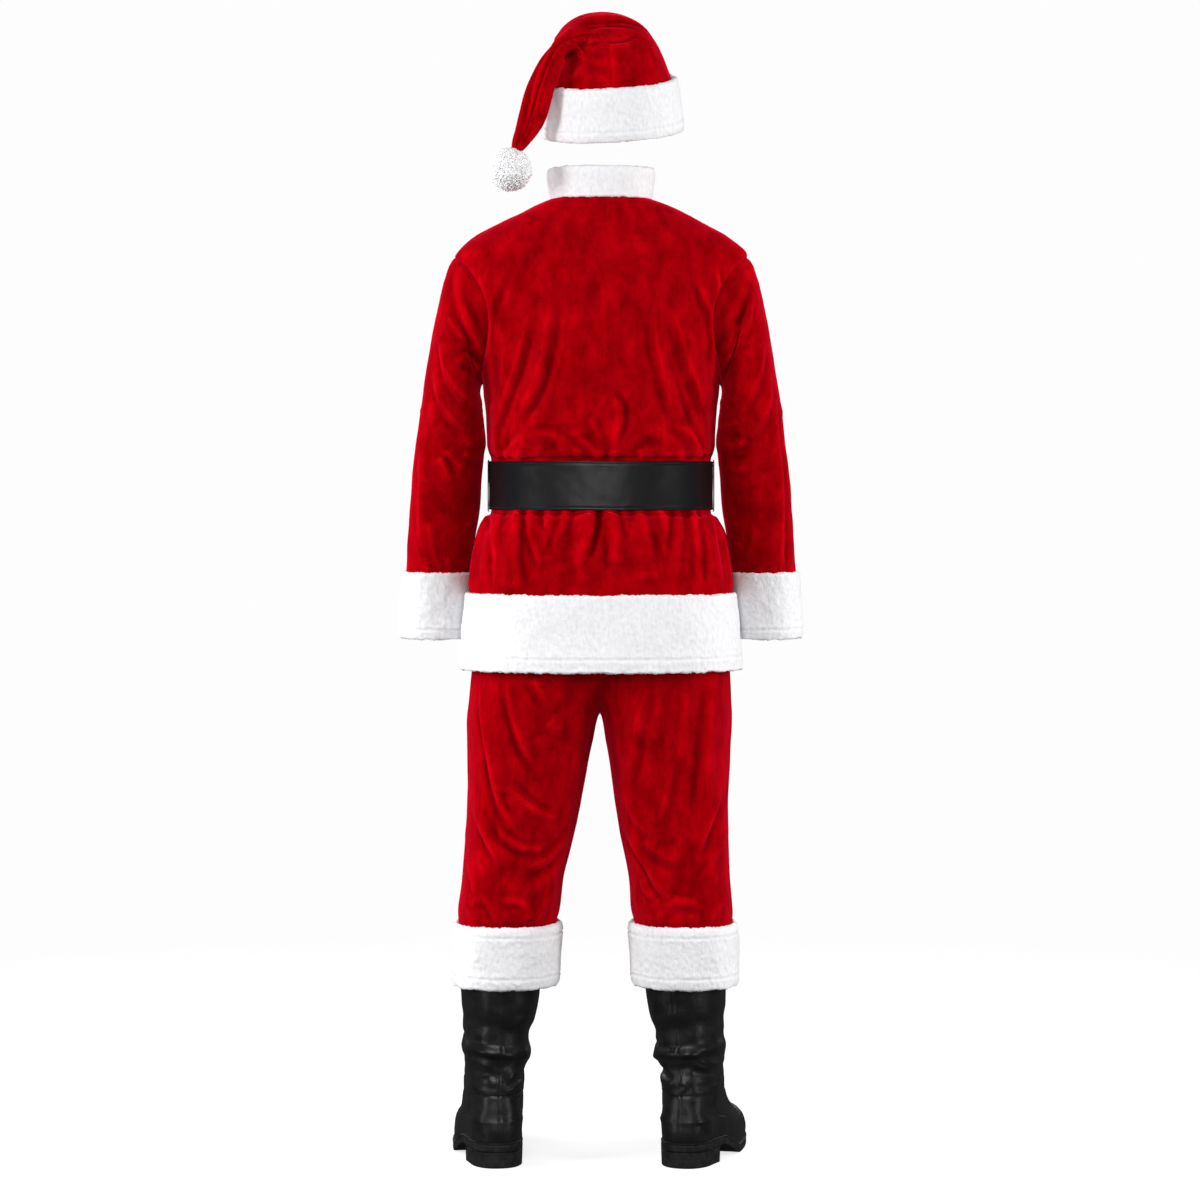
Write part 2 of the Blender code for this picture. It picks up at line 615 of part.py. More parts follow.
def sleeve_and_cuff(side, mirrored, cloth, fur, group):
    turns = np.arange(2 * ARMHOLE_STEPS) * 180 / ARMHOLE_STEPS
    rows = np.array((0, 1.4, 2.8, 4.2, 5.6, 7, 8.3, 9.6, RING_CUFF), float)
    outside = offset(sleeve, turns, rows, 0)
    inside = offset(sleeve, turns, rows, -CLOTH)
    inside[0] = outside[0] - armhole_way(turns) * CLOTH
    step = outside[1] - outside[0]
    step *= 1.5 * SEAM / np.linalg.norm(step, axis=-1, keepdims=True)
    grids = [pulled_in(grid, ("high",)) for grid in (outside, inside)]
    for grid in grids:
        grid[0] += step
    wall_between(f"sleeve_{side}", *(mirror(grid, mirrored) for grid in grids), cloth, group, closed=True)
    rows = np.array((RING_CUFF, RING_CUFF_END - 0.2, RING_CUFF_END))
    outside = offset(sleeve, turns, rows, (PLUSH_OUT, PLUSH_OUT, 0.0025))
    inside = offset(sleeve, turns, rows, -PLUSH_IN)
    grids = [mirror(pulled_in(grid, ("low",)), mirrored) for grid in (outside, inside)]
    wall_between(f"sleeve_cuff_{side}", *grids, fur, group, closed=True)


# ---------------------------------------------------------------- trousers


def leg_panel(side, back, mirrored, cloth, group):
    rows = np.array((ROW_WAISTBAND, 1.8, 3.1, 4.4, 5.7, ROW_CROTCH, 8.3, 9.6, 11, 12, 13, ROW_LEG_END), float)
    turns = np.linspace(0, 180, LEG_COLUMNS + 1) * (1 if back else -1)
    grids = []
    for out in (0, -CLOTH):
        grid = pulled_in(offset(leg, turns, rows, out), ("first", "low"))
        above = rows < ROW_CROTCH
        grid[above, -1, 0] = leg_shift(grid[above, -1, 2]) + SEAM / 2
        grid[~above, -1, 1] = (1 if back else -1) * SEAM / 2
        grids.append(mirror_leg(grid, mirrored))
    wall_between(f"trousers_{'back' if back else 'front'}_{side}", *grids, cloth, group)


def mirror_leg(grid, mirrored):
    """The grid, or its mirror image for the right leg, which is shifted the same way as the left one."""
    made = mirror(grid, mirrored)
    made[..., 0] += (2 if mirrored else 0) * leg_shift(grid[..., 2])
    return made


def waistband(cloth, group):
    """The elastic casing round the top of both legs. The belt presses the jacket onto it."""
    top, low = row_of(LEG, np.array((0.0, ROW_WAISTBAND)))[0]
    turns = waist_turns()
    grids = []
    for wall in (0.0, WAISTBAND_WALL):
        grids.append(np.stack([at_waist(turns, height, -CLOTH - SEAM - wall) for height in (low + SEAM, top)]))
    wall_between("waistband", *grids, cloth, group, closed=True)


def leg_cuff_ring(side, mirrored, fur, group):
    rows = np.arange(len(LEG_CUFF), dtype=float)
    turns = np.arange(2 * LEG_COLUMNS) * 180 / LEG_COLUMNS
    grids = [mirror_leg(leg_cuff(*across_rows(rows, turns), wall), mirrored) for wall in (0, LEG_CUFF_WALL)]
    wall_between(f"leg_cuff_{side}", *grids, fur, group, closed=True)


# ---------------------------------------------------------------- hat


def hat_crown(side, start, cloth, group):
    """Half of the cone. The two halves are seamed down the back and the front."""
    rows = np.arange(len(HAT_IN_BAND) + len(HAT), dtype=float)
    turns = start + np.linspace(0, 180, HAT_COLUMNS + 1)
    thin = np.where(rows < len(rows) - 4, CLOTH, CLOTH * 0.6)
    outside = pulled_in(offset(hat, turns, rows, 0), ("first", "last"))
    inside = pulled_in(offset(hat, turns, rows, -thin), ("first", "last"))
    wall_between(f"hat_crown_{side}", outside, inside, cloth, group)


def hat_band_ring(fur, group):
    rows = np.arange(len(HAT_BAND), dtype=float)
    turns = -90 + np.arange(2 * HAT_COLUMNS) * 180 / HAT_COLUMNS
    grids = [hat_band(*across_rows(rows, turns), wall) for wall in (0, HAT_BAND_WALL)]
    wall_between("hat_band", *grids, fur, group, closed=True)


def pompom(fur, group):
    work = bmesh.new()
    bmesh.ops.create_uvsphere(work, u_segments=14, v_segments=9, radius=POMPOM_RADIUS)
    ball = add_object("pompom", work, fur, group)
    ball.location = POMPOM_MIDDLE


# ---------------------------------------------------------------- belt


def belt_lift(turn):
    """How far the belt stands off the jacket: it passes over the front band at the front."""
    return BELT_OFF + (FRONT_BAND_PRESSED + BELT_OFF) * ease((np.abs(away(turn, 0)) - 135) / 25)


def waist_turns():
    """The jacket's own columns at the waist, all round."""
    front = front_turns(np.array((ROW_BELT_LOW,), float))[0]
    return np.concatenate((np.linspace(-90, 90, BACK_COLUMNS + 1), front[1:], -front[-2:0:-1]))


def at_waist(turn, height, out):
    """A point so far out from the jacket's waist, at a turn round the body and a height."""
    rows = np.full_like(turn, (ROW_BELT_LOW + ROW_BELT_HIGH) / 2)
    way = normal(jacket, turn, rows) * (1, 1, 0)
    way /= np.linalg.norm(way, axis=-1, keepdims=True)
    point = jacket(turn, rows) + way * np.broadcast_to(out, np.shape(turn))[..., None]
    point[..., 2] = height
    return point


def on_belt(turn, height, out):
    """A point so far out from the belt's outside."""
    return at_waist(turn, height, belt_lift(turn) + VINYL + out)


def belt_strap(vinyl, group):
    turns, (low, _, high) = waist_turns(), BELT_HEIGHTS
    grids = [np.stack([on_belt(turns, height, -wall) for height in (low, high)]) for wall in (0.0, VINYL)]
    wall_between("belt_strap", *grids, vinyl, group, closed=True)


def rounded_frame(width, height, corner, steps):
    """Points round a rectangle with round corners, as (across, up) from its middle."""
    points = []
    for quarter, (cx, cz) in enumerate(((1, 1), (-1, 1), (-1, -1), (1, -1))):
        for angle in np.radians(90 * quarter + np.linspace(0, 90, 4)):
            x = cx * (width / 2 - corner) + corner * math.cos(angle)
            points.append((x, cz * (height / 2 - corner) + corner * math.sin(angle)))
    points, made = np.array(points), []
    for k, here in enumerate(points):
        there = points[(k + 1) % len(points)]
        count = steps if k % 4 == 3 else 1
        made += [here + (there - here) * i / count for i in range(count)]
    return np.array(made)


def belt_buckle(metal, group):
    """A plain square frame that follows the belt's curve, through which the strap is fastened."""
    outer = rounded_frame(BUCKLE_WIDTH, BUCKLE_HEIGHT, BUCKLE_CORNER, 4)
    inset = 2 * BUCKLE_BAR
    hole = rounded_frame(BUCKLE_WIDTH - inset, BUCKLE_HEIGHT - inset, BUCKLE_CORNER / 3, 4)
    loops = []
    for share, out in ((0, 0), (0, 0.55), (0.2, 1), (0.8, 1), (1, 0.55), (1, 0)):
        points = outer + (hole - outer) * share
        reach = np.full(len(points), BUCKLE_CLEAR + out * BUCKLE_THICK)
        loops.append(on_belt(turn_across(points[:, 0]), BELT_HEIGHTS[1] + points[:, 1], reach))
    work = bmesh.new()
    verts = [[work.verts.new(p) for p in loop] for loop in loops]
    for low, high in zip(verts, verts[1:] + verts[:1], strict=True):
        for k, here in enumerate(low):
            n = (k + 1) % len(low)
            work.faces.new((here, low[n], high[n]))
            work.faces.new((here, high[n], high[k]))
    add_object("belt_buckle", work, metal, group)


def turn_across(across):
    """The turn at which a point so far across from the centre front lies, on the belt."""
    _, half, _, _, _ = row_of(JACKET, (ROW_BELT_LOW + ROW_BELT_HIGH) / 2)
    return 180 - np.degrees(np.arcsin(across / half))


def buckle_prong(metal, group):
    """The tongue across the buckle's middle, from one bar to the other."""
    reach = BUCKLE_WIDTH / 2 - BUCKLE_BAR - SEAM
    turns = turn_across(np.linspace(-reach, reach, 7))
    grids = []
    for out in (BUCKLE_CLEAR + PRONG_THICK, BUCKLE_CLEAR):
        rows = [on_belt(turns, BELT_HEIGHTS[1] + up, out) for up in (-PRONG_HALF, PRONG_HALF)]
        grids.append(np.stack(rows))
    wall_between("buckle_prong", *grids, metal, group)


def belt_loop(side, turn, vinyl, group):
    """A thin keeper round the belt at the side seam, standing a little above and below it."""
    low, _, high = BELT_HEIGHTS
    _, half, _, _, _ = row_of(JACKET, ROW_BELT_LOW)
    turns = turn + np.array((-1, 0, 1)) * math.degrees(LOOP_WIDTH / 2 / half)
    grids = []
    for wall in (LOOP_WALL, 0.0):
        heights = (low - LOOP_REACH, low - LOOP_REACH / 3, high + LOOP_REACH / 3, high + LOOP_REACH)
        grids.append(np.stack([on_belt(turns, height, SEAM + wall) for height in heights]))
    wall_between(f"belt_loop_{side}", *grids, vinyl, group)


# ---------------------------------------------------------------- boots


def in_boot_place(grid, mirrored, stand, toe_out):
    """From the boot's frame to the suit's: turned out at the toe about the heel, and stood under the leg."""
    angle, (across, back) = math.radians(toe_out), stand
    x, y, z = np.moveaxis(grid, -1, 0)
    y = y - HEEL_MIDDLE
    outward = x * math.cos(angle) + y * math.sin(angle)
    forward = y * math.cos(angle) - x * math.sin(angle)
    return np.stack((across + outward * (-1 if mirrored else 1), back - forward, FLOOR + z), -1)


def boot(side, mirrored, stand, toe_out, leather, rubber, group):
    def placed(grid):
        return in_boot_place(grid, mirrored, stand, toe_out)

    turns = np.arange(BOOT_COLUMNS) * 360.0 / BOOT_COLUMNS
    for name, surface, table in (("boot_shaft", boot_shaft, BOOT_SHAFT), ("boot_foot", boot_foot, BOOT_FOOT)):
        outside = surface(*across_rows(np.arange(len(table)), turns))
        way = (outside - outside.mean(axis=1, keepdims=True)) * (1, 1, 0)
        inside = outside - way / np.linalg.norm(way, axis=-1, keepdims=True) * LEATHER
        grids = [placed(pulled_in(grid, ("low", "high"))) for grid in (outside, inside)]
        wall_between(f"{name}_{side}", *grids, leather, group, closed=True)

    edge = boot_foot(turns, np.full_like(turns, len(BOOT_FOOT) - 1))
    way = (edge - edge.mean(axis=0)) * (1, 1, 0)
    edge += way / np.linalg.norm(way, axis=-1, keepdims=True) * SOLE_LEDGE
    edge[:, 2] = sole_top(edge[:, 1])
    slab(f"boot_sole_{side}", [placed(edge - (0, 0, drop)) for drop in (0, SOLE_THICK)], rubber, group)

    turns = np.arange(HEEL_COLUMNS) * 360.0 / HEEL_COLUMNS
    s, c = oval(turns, 3.2)
    outlines = []
    for height, taper in ((HEEL_LIFT + SOLE_FRONT - SOLE_THICK - SEAM, 0), (0, HEEL_TAPER)):
        x, y = (HEEL_HALF - taper) * s, HEEL_START + HEEL_LENGTH / 2 - (HEEL_LENGTH / 2 - taper) * c
        outlines.append(placed(np.stack((x, y, np.full_like(x, height)), -1)))
    slab(f"boot_heel_{side}", outlines, rubber, group)


def slab(name, outlines, material, group):
    """A solid between an upper and a lower outline of as many points, each side filled straight across."""
    work = bmesh.new()
    top, low = ([work.verts.new(p) for p in outline] for outline in outlines)
    count = len(top)
    for k in range(count):
        n = (k + 1) % count
        work.faces.new((top[k], top[n], low[n]))
        work.faces.new((top[k], low[n], low[k]))
    for ring in (top, low):
        for k in range(count // 2):
            corners = [ring[k], ring[k + 1], ring[(count - 1 - k) % count], ring[(count - k) % count]]
            for a, b, c in ((0, 1, 2), (0, 2, 3)):
                if len({corners[a], corners[b], corners[c]}) == 3:
                    work.faces.new((corners[a], corners[b], corners[c]))
    add_object(name, work, material, group)


# ---------------------------------------------------------------- the suit


def main():
    for thing in list(bpy.data.objects):
        bpy.data.objects.remove(thing, do_unlink=True)
    group = bpy.data.collections.new("santa_suit")
    bpy.context.scene.collection.children.link(group)
    red = paint("red_velour", (0.42, 0.004, 0.010), 0.75, sheen=0.8)
    fur = paint("white_plush", (0.86, 0.86, 0.88), 0.95, sheen=0.4)
    vinyl = paint("black_vinyl", (0.012, 0.012, 0.013), 0.32)
    gold = paint("gold_metal", (0.80, 0.58, 0.22), 0.25, metallic=1.0)
    leather = paint("black_leather", (0.015, 0.015, 0.016), 0.42)
    rubber = paint("black_rubber", (0.018, 0.018, 0.018), 0.6)
    jacket_back(red, group)
    front_band(fur, group)
    hem_band(fur, group)
    collar_ring(fur, group)
    waistband(red, group)
    for side, mirrored in (("left", False), ("right", True)):
        jacket_front(side, mirrored, red, group)
        sleeve_and_cuff(side, mirrored, red, fur, group)
        leg_panel(side, True, mirrored, red, group)
        leg_panel(side, False, mirrored, red, group)
        leg_cuff_ring(side, mirrored, fur, group)
        belt_loop(side, -90 if mirrored else 90, vinyl, group)
    hat_crown("right", -90, red, group)
    hat_crown("left", 90, red, group)
    hat_band_ring(fur, group)
    pompom(fur, group)
    belt_strap(vinyl, group)
    belt_buckle(gold, group)
    buckle_prong(gold, group)
    for side, mirrored, stand, toe_out in BOOTS:
        boot(side, mirrored, stand, toe_out, leather, rubber, group)


main()
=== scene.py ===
# %% [markdown]
# # A Santa suit, worn by nobody
# This lesson dresses a plain engineering model of the suit: a plush jacket with a wide belt, trousers, a
# hat with a pompom, and boots. The engineering model is the fixed frame. Every piece made here is laid on
# the same forms, so it keeps the suit's true size, and each one takes the place of a plain solid with
# cloth, fur, vinyl or leather. All sizes are metres unless a table says millimetres. +Z is up and the suit
# faces -Y, so its back is seen from +Y.

import math

import bmesh
import bpy
import numpy as np
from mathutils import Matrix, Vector, noise
from mathutils.kdtree import KDTree


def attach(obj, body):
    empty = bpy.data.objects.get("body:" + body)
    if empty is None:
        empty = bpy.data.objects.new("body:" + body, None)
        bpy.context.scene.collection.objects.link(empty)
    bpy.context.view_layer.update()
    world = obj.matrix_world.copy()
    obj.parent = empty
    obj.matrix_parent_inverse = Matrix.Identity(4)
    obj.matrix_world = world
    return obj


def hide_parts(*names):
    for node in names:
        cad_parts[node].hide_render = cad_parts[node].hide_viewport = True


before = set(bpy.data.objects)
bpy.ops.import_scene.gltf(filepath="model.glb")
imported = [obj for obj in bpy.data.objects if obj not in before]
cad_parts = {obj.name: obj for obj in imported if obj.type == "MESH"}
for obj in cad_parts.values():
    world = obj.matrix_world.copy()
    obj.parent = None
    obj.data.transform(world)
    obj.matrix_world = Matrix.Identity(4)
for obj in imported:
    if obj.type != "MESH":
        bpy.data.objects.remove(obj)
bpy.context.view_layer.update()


def into_scene(name, data):
    """A new object in the scene, made of this mesh, lamp or lens."""
    made = bpy.data.objects.new(name, data)
    bpy.context.scene.collection.objects.link(made)
    return made


# %% [markdown]
# ## The studio
# The suit is seen from behind, from far enough away that nothing looks widened: a long lens does the same
# on a real camera. It stands on a pale floor that fades into a white sky a few metres out, so there is no
# horizon. Broad soft lamps stand on both sides of the lens, because velour shows its folds when light
# grazes them.

# %% Camera
EYE_BACK, EYE_ACROSS, EYE_HEIGHT, EYE_PITCH = 5.5, 0.0016, -0.4733, 1.87
LENS_MM, SENSOR_MM = 101.1, 36.0
lens = bpy.data.cameras.new("long_lens")
lens.lens, lens.sensor_width = LENS_MM, SENSOR_MM
camera = into_scene("camera_behind", lens)
camera.location = (EYE_ACROSS, EYE_BACK, EYE_HEIGHT)
camera.rotation_euler = (math.radians(90 - EYE_PITCH), 0, math.radians(180))
bpy.context.scene.camera = camera
print("camera", EYE_BACK, "m behind the suit")

# %% Sky
SKY_GLOW, SKY_IN_SHINE, SKY_SEEN = 0.165, 0.05, 0.985
sky = bpy.data.worlds.new("white_studio")
sky.use_nodes = True
bpy.context.scene.world = sky
sky_nodes, sky_links = sky.node_tree.nodes, sky.node_tree.links
light_path = sky_nodes.new("ShaderNodeLightPath")
seen = sky_nodes["Background"]
seen.inputs["Color"].default_value = (1, 1, 1, 1)
seen.inputs["Strength"].default_value = SKY_GLOW
# The sky looks white to the lens and dim to anything shiny, as if black flags stood round the set.
for ray, strength in (("Is Glossy Ray", SKY_IN_SHINE), ("Is Camera Ray", SKY_SEEN)):
    other = sky_nodes.new("ShaderNodeBackground")
    other.inputs["Strength"].default_value = strength
    other.inputs["Color"].default_value = (1, 1, 1, 1)
    choice = sky_nodes.new("ShaderNodeMixShader")
    sky_links.new(light_path.outputs[ray], choice.inputs["Fac"])
    sky_links.new(seen.outputs[0], choice.inputs[1])
    sky_links.new(other.outputs[0], choice.inputs[2])
    seen = choice
sky_links.new(seen.outputs[0], sky_nodes["World Output"].inputs["Surface"])
print("sky", SKY_SEEN, "to the lens,", SKY_GLOW, "to the suit and", SKY_IN_SHINE, "in its highlights")

# %% Lamps
LAMPS = (
    # name, place, aimed at, width, height, power
    ("key_left", (3.5, 1.7, 0.3), (0, 0, -0.8), 0.9, 1.6, 120),
    ("fill_right", (-3.5, 1.5, 0.0), (0, 0, -0.8), 0.9, 1.6, 92),
    ("overhead", (0.0, 2.2, 5.0), (0, 0, -0.6), 1.4, 1.0, 16),
    ("high_behind", (0.5, 4.2, 2.3), (0, 0, -1.2), 1.4, 1.0, 47),
    ("by_the_lens", (0.4, 5.0, 0.5), (0, 0, -0.8), 1.2, 1.2, 43),
    ("low_left", (2.4, 2.0, -1.2), (0, 0, -1.4), 0.5, 0.9, 8),
    ("low_right", (-2.4, 2.0, -1.2), (0, 0, -1.4), 0.5, 0.9, 7),
    ("edge_left", (3.0, -0.4, -0.4), (0, 0, -0.8), 0.8, 2.6, 44),
    ("edge_right", (-3.0, -0.4, -0.4), (0, 0, -0.8), 0.8, 2.6, 32),
    ("front_left", (1.8, -3.4, 0.8), (0, 0, -0.5), 1.8, 2.2, 34),
    ("front_right", (-2.0, -3.2, 0.4), (0, 0, -0.5), 1.8, 2.2, 24),
)
# The side lamps shape the cloth, but would smear long streaks over the vinyl, so a polariser takes those out.
POLARISED = ("key_left", "fill_right", "edge_left", "edge_right")
for lamp_name, place, aim, width, height, power in LAMPS:
    light = bpy.data.lights.new(lamp_name, "AREA")
    light.shape, light.size, light.size_y, light.energy = "RECTANGLE", width, height, power
    lamp = into_scene(lamp_name, light)
    lamp.location = place
    lamp.rotation_euler = (Vector(aim) - Vector(place)).to_track_quat("-Z", "Y").to_euler()
    lamp.visible_camera = False
    lamp.visible_glossy = lamp_name not in POLARISED
bpy.context.scene.view_settings.view_transform = "Standard"
print(len(LAMPS), "soft lamps")

# %% [markdown]
# ## Finishes
# A finish is a set of shader nodes. Velour is a knit whose loops are cut to a short pile. It is dark where
# you look into the pile and bright where the pile leans across your view, which is what the shader's sheen
# does, and it is brushed in patches, so its red wanders. Plush is longer, white and almost without shine.
# Vinyl, leather, rubber and metal are told apart by how sharp their highlights are, and by the grain that
# breaks those up. All the noises below are laid in the piece's own metres, so a grain has the same size on
# every piece.

# %% Helpers for finishes
def finish(name, colour, **sockets):
    """A new material whose shader holds these plain values."""
    material = bpy.data.materials.new(name)
    material.use_nodes = True
    shader = material.node_tree.nodes["Principled BSDF"]
    shader.inputs["Base Color"].default_value = (*colour, 1)
    for socket, value in sockets.items():
        shader.inputs[socket.replace("_", " ")].default_value = value
    material.diffuse_color = (*colour, 1)
    return material


def node(material, kind, **values):
    """A new node in the material, with its sockets' values."""
    made = material.node_tree.nodes.new(kind)
    for socket, value in values.items():
        made.inputs[socket.replace("_", " ")].default_value = value
    return made


def wire(material, source, output, target, socket):
    """Joins one node's output to another's socket."""
    material.node_tree.links.new(source.outputs[output], target.inputs[socket])


def speckle(material, scale, stretch=(1, 1, 1), detail=3.0, roughness=0.55):
    """Noise with about scale spots to a metre, drawn out along the axes that stretch makes smaller."""
    place = node(material, "ShaderNodeTexCoord")
    drawn = node(material, "ShaderNodeMapping", Scale=stretch)
    grain = node(material, "ShaderNodeTexNoise", Scale=scale, Detail=detail, Roughness=roughness)
    wire(material, place, "Object", drawn, "Vector")
    wire(material, drawn, "Vector", grain, "Vector")
    return grain


def tones(material, grain, socket, *stops):
    """Colours, or greys for a plain number, picked by a noise. Each stop is (where, colour)."""
    ramp = node(material, "ShaderNodeValToRGB")
    for number, (where, colour) in enumerate(stops):
        stop = ramp.color_ramp.elements[number] if number < 2 else ramp.color_ramp.elements.new(where)
        stop.position = where
        stop.color = (*colour, 1) if hasattr(colour, "__len__") else (colour, colour, colour, 1)
    wire(material, grain, "Fac", ramp, "Fac")
    wire(material, ramp, "Color", material.node_tree.nodes["Principled BSDF"], socket)
    return ramp


def raise_grain(material, *grains):
    """Bump from several noises stacked on each other: (noise, depth in metres, strength)."""
    before = None
    for grain, depth, strength in grains:
        bump = node(material, "ShaderNodeBump", Distance=depth, Strength=strength)
        wire(material, grain, "Fac", bump, "Height")
        if before:
            wire(material, before, "Normal", bump, "Normal")
        before = bump
    wire(material, before, "Normal", material.node_tree.nodes["Principled BSDF"], "Normal")


def shade_creases_light_crests(material, slack, crease_shade, crest_light):
    """Paints shade and light into the colour by the surface's pointiness: the colour is multiplied by a
    painted shade factor in the creases and by a painted highlight factor on the crests, which on hide and
    rubber is partly rubbed wear as well.
    slack is how far the surface's pointiness may stray from flat before the colour is fully changed."""
    shader = material.node_tree.nodes["Principled BSDF"]
    colour = shader.inputs["Base Color"].links[0]
    shape = node(material, "ShaderNodeNewGeometry")
    painted_shading = node(material, "ShaderNodeMapRange", From_Min=0.5 - slack, From_Max=0.5 + slack,
                  To_Min=crease_shade, To_Max=crest_light)
    product = node(material, "ShaderNodeVectorMath")
    product.operation = "SCALE"
    wire(material, shape, "Pointiness", painted_shading, "Value")
    wire(material, colour.from_node, "Color", product, 0)
    wire(material, painted_shading, "Result", product, "Scale")
    wire(material, product, "Vector", shader, "Base Color")


# %% Red velour and white plush
velour = finish("red_velour_pile", (0.30, 0.0, 0.002), Roughness=0.8, Specular_IOR_Level=0.0,
                Sheen_Weight=1.0, Sheen_Roughness=0.42, Sheen_Tint=(1.0, 0.012, 0.045, 1))
brushed = speckle(velour, 38, (1.0, 1.0, 0.5), detail=6.0, roughness=0.62)
tones(velour, brushed, "Base Color",
      (0.34, (0.18, 0.0, 0.001)), (0.5, (0.26, 0.0, 0.002)), (0.68, (0.36, 0.0, 0.003)))
# The pile is painted darker in its creases and lighter on its crests: painted shade and painted highlight
# along the folds.
shade_creases_light_crests(velour, 0.03, 0.58, 1.6)
raise_grain(velour, (brushed, 0.003, 0.25), (speckle(velour, 420, (1, 1, 0.5), detail=4.0), 0.0012, 0.4))

plush = finish("white_plush_pile", (0.83, 0.83, 0.86), Roughness=0.95, Specular_IOR_Level=0.1,
               Sheen_Weight=0.5, Sheen_Roughness=0.6)
clumps = speckle(plush, 210, (1.0, 1.0, 0.55), detail=5.0)
tones(plush, clumps, "Base Color",
      (0.3, (0.735, 0.735, 0.76)), (0.5, (0.81, 0.81, 0.83)), (0.7, (0.86, 0.86, 0.87)))
# The plush is painted a little darker in its hollows and a little lighter on its crests: painted shade and
# painted highlight.
shade_creases_light_crests(plush, 0.06, 0.96, 1.03)
raise_grain(plush, (clumps, 0.003, 0.35), (speckle(plush, 900, (1, 1, 0.5)), 0.0012, 0.6))

yarn = finish("white_pompom_yarn", (0.92, 0.92, 0.93), Roughness=0.9, Specular_IOR_Level=0.1,
              Sheen_Weight=0.3)
strands = speckle(yarn, 420, detail=4.0)
tones(yarn, strands, "Base Color", (0.3, (0.88, 0.88, 0.895)), (0.7, (0.95, 0.95, 0.955)))
raise_grain(yarn, (strands, 0.001, 0.4))

# %% Vinyl, leather, rubber, metal and thread
vinyl = finish("black_belt_vinyl", (0.006, 0.006, 0.007), Roughness=0.4, Specular_IOR_Level=0.42)
scuffs = speckle(vinyl, 26, (1.0, 1.0, 2.2), detail=5.0)
tones(vinyl, scuffs, "Roughness", (0.2, 0.36), (0.8, 0.43))
raise_grain(vinyl, (scuffs, 0.0010, 0.15), (speckle(vinyl, 1500, detail=2.0), 0.0002, 0.35))

leather = finish("black_boot_leather", (0.006, 0.006, 0.0065), Roughness=0.36, Specular_IOR_Level=0.5)
creases = speckle(leather, 34, (1.0, 1.0, 1.6), detail=7.0, roughness=0.65)
tones(leather, creases, "Base Color", (0.3, (0.004, 0.004, 0.0045)), (0.7, (0.010, 0.0095, 0.010)))
# The leather is painted darker in its creases, a painted shade, and lighter on its crests, partly rubbed wear
# and partly painted highlight.
shade_creases_light_crests(leather, 0.06, 0.8, 1.6)
tones(leather, creases, "Roughness", (0.3, 0.25), (0.7, 0.42))
raise_grain(leather, (creases, 0.0016, 0.3), (speckle(leather, 1300, detail=3.0), 0.0003, 0.5))

rubber = finish("black_sole_rubber", (0.008, 0.008, 0.008), Roughness=0.55, Specular_IOR_Level=0.35)
dust = speckle(rubber, 90, detail=5.0)
tones(rubber, dust, "Base Color", (0.35, (0.005, 0.005, 0.005)), (0.7, (0.014, 0.0135, 0.013)))
# The rubber is painted darker in its hollows, a painted shade, and lighter on its edges, partly rubbed wear
# and partly painted highlight.
shade_creases_light_crests(rubber, 0.05, 0.6, 2.2)
raise_grain(rubber, (dust, 0.0008, 0.4), (speckle(rubber, 1000), 0.0003, 0.4))

gold = finish("gold_buckle_metal", (0.80, 0.56, 0.20), Roughness=0.24, Metallic=1.0)
rubbed_gold = speckle(gold, 60, (1.0, 1.0, 6.0), detail=5.0)
tones(gold, rubbed_gold, "Base Color", (0.3, (0.70, 0.47, 0.15)), (0.7, (0.86, 0.64, 0.27)))
tones(gold, rubbed_gold, "Roughness", (0.3, 0.16), (0.7, 0.34))
raise_grain(gold, (speckle(gold, 700, (1, 1, 8)), 0.0001, 0.3))

thread = finish("black_thread", (0.016, 0.016, 0.017), Roughness=0.7, Sheen_Weight=0.2)
lay = speckle(thread, 2500)
tones(thread, lay, "Base Color", (0.3, (0.010, 0.010, 0.011)), (0.7, (0.022, 0.022, 0.023)))
raise_grain(thread, (lay, 0.0002, 0.6))

# %% Floor
pale = finish("pale_floor", (0.40, 0.40, 0.40), Roughness=0.9, Specular_IOR_Level=0.1,
              Emission_Color=(1, 1, 1, 1), Emission_Strength=0.74)
raise_grain(pale, (speckle(pale, 4, detail=2.0), 0.0002, 0.1))
FLOOR_HEIGHT, FLOOR_REACH, FLOOR_WHOLE = -1.5715, 4.0, 0.3
floor_mesh = bpy.data.meshes.new("studio_floor")
rim = [(FLOOR_REACH * math.cos(a), FLOOR_REACH * math.sin(a), 0) for a in np.radians(np.arange(0, 360, 10))]
floor_mesh.from_pydata(rim, [], [range(len(rim))])
floor_mesh.materials.append(pale)
floor = into_scene("studio_floor", floor_mesh)
floor.location.z = FLOOR_HEIGHT
floor.visible_glossy = floor.visible_diffuse = False
# The floor is whole out to FLOOR_WHOLE, and from there it thins out into the sky.
fade_place = node(pale, "ShaderNodeTexCoord")
fade_length = node(pale, "ShaderNodeVectorMath")
fade_length.operation = "LENGTH"
fade = node(pale, "ShaderNodeMapRange", From_Min=FLOOR_WHOLE, From_Max=FLOOR_REACH * 0.7,
            To_Min=1.0, To_Max=0.0)
wire(pale, fade_place, "Object", fade_length, 0)
wire(pale, fade_length, "Value", fade, "Value")
wire(pale, fade, "Result", pale.node_tree.nodes["Principled BSDF"], "Alpha")
print("finishes:", [made.name for made in (velour, plush, yarn, vinyl, leather, rubber, gold, thread, pale)])

# %% [markdown]
# ## The forms the cloth lies on
# A garment is easiest to describe by its sections, as a dressmaker measures it: so wide and so deep at the
# hem, at the waist, at the chest. Each form below runs smoothly through a short table of sections. A form
# is a function of a turn, in degrees round the section, and a row of its table, which may lie between two
# rows. Making forms functions, and not meshes, lets one form serve the cloth, the fur on it and the belt
# round it at any fineness.

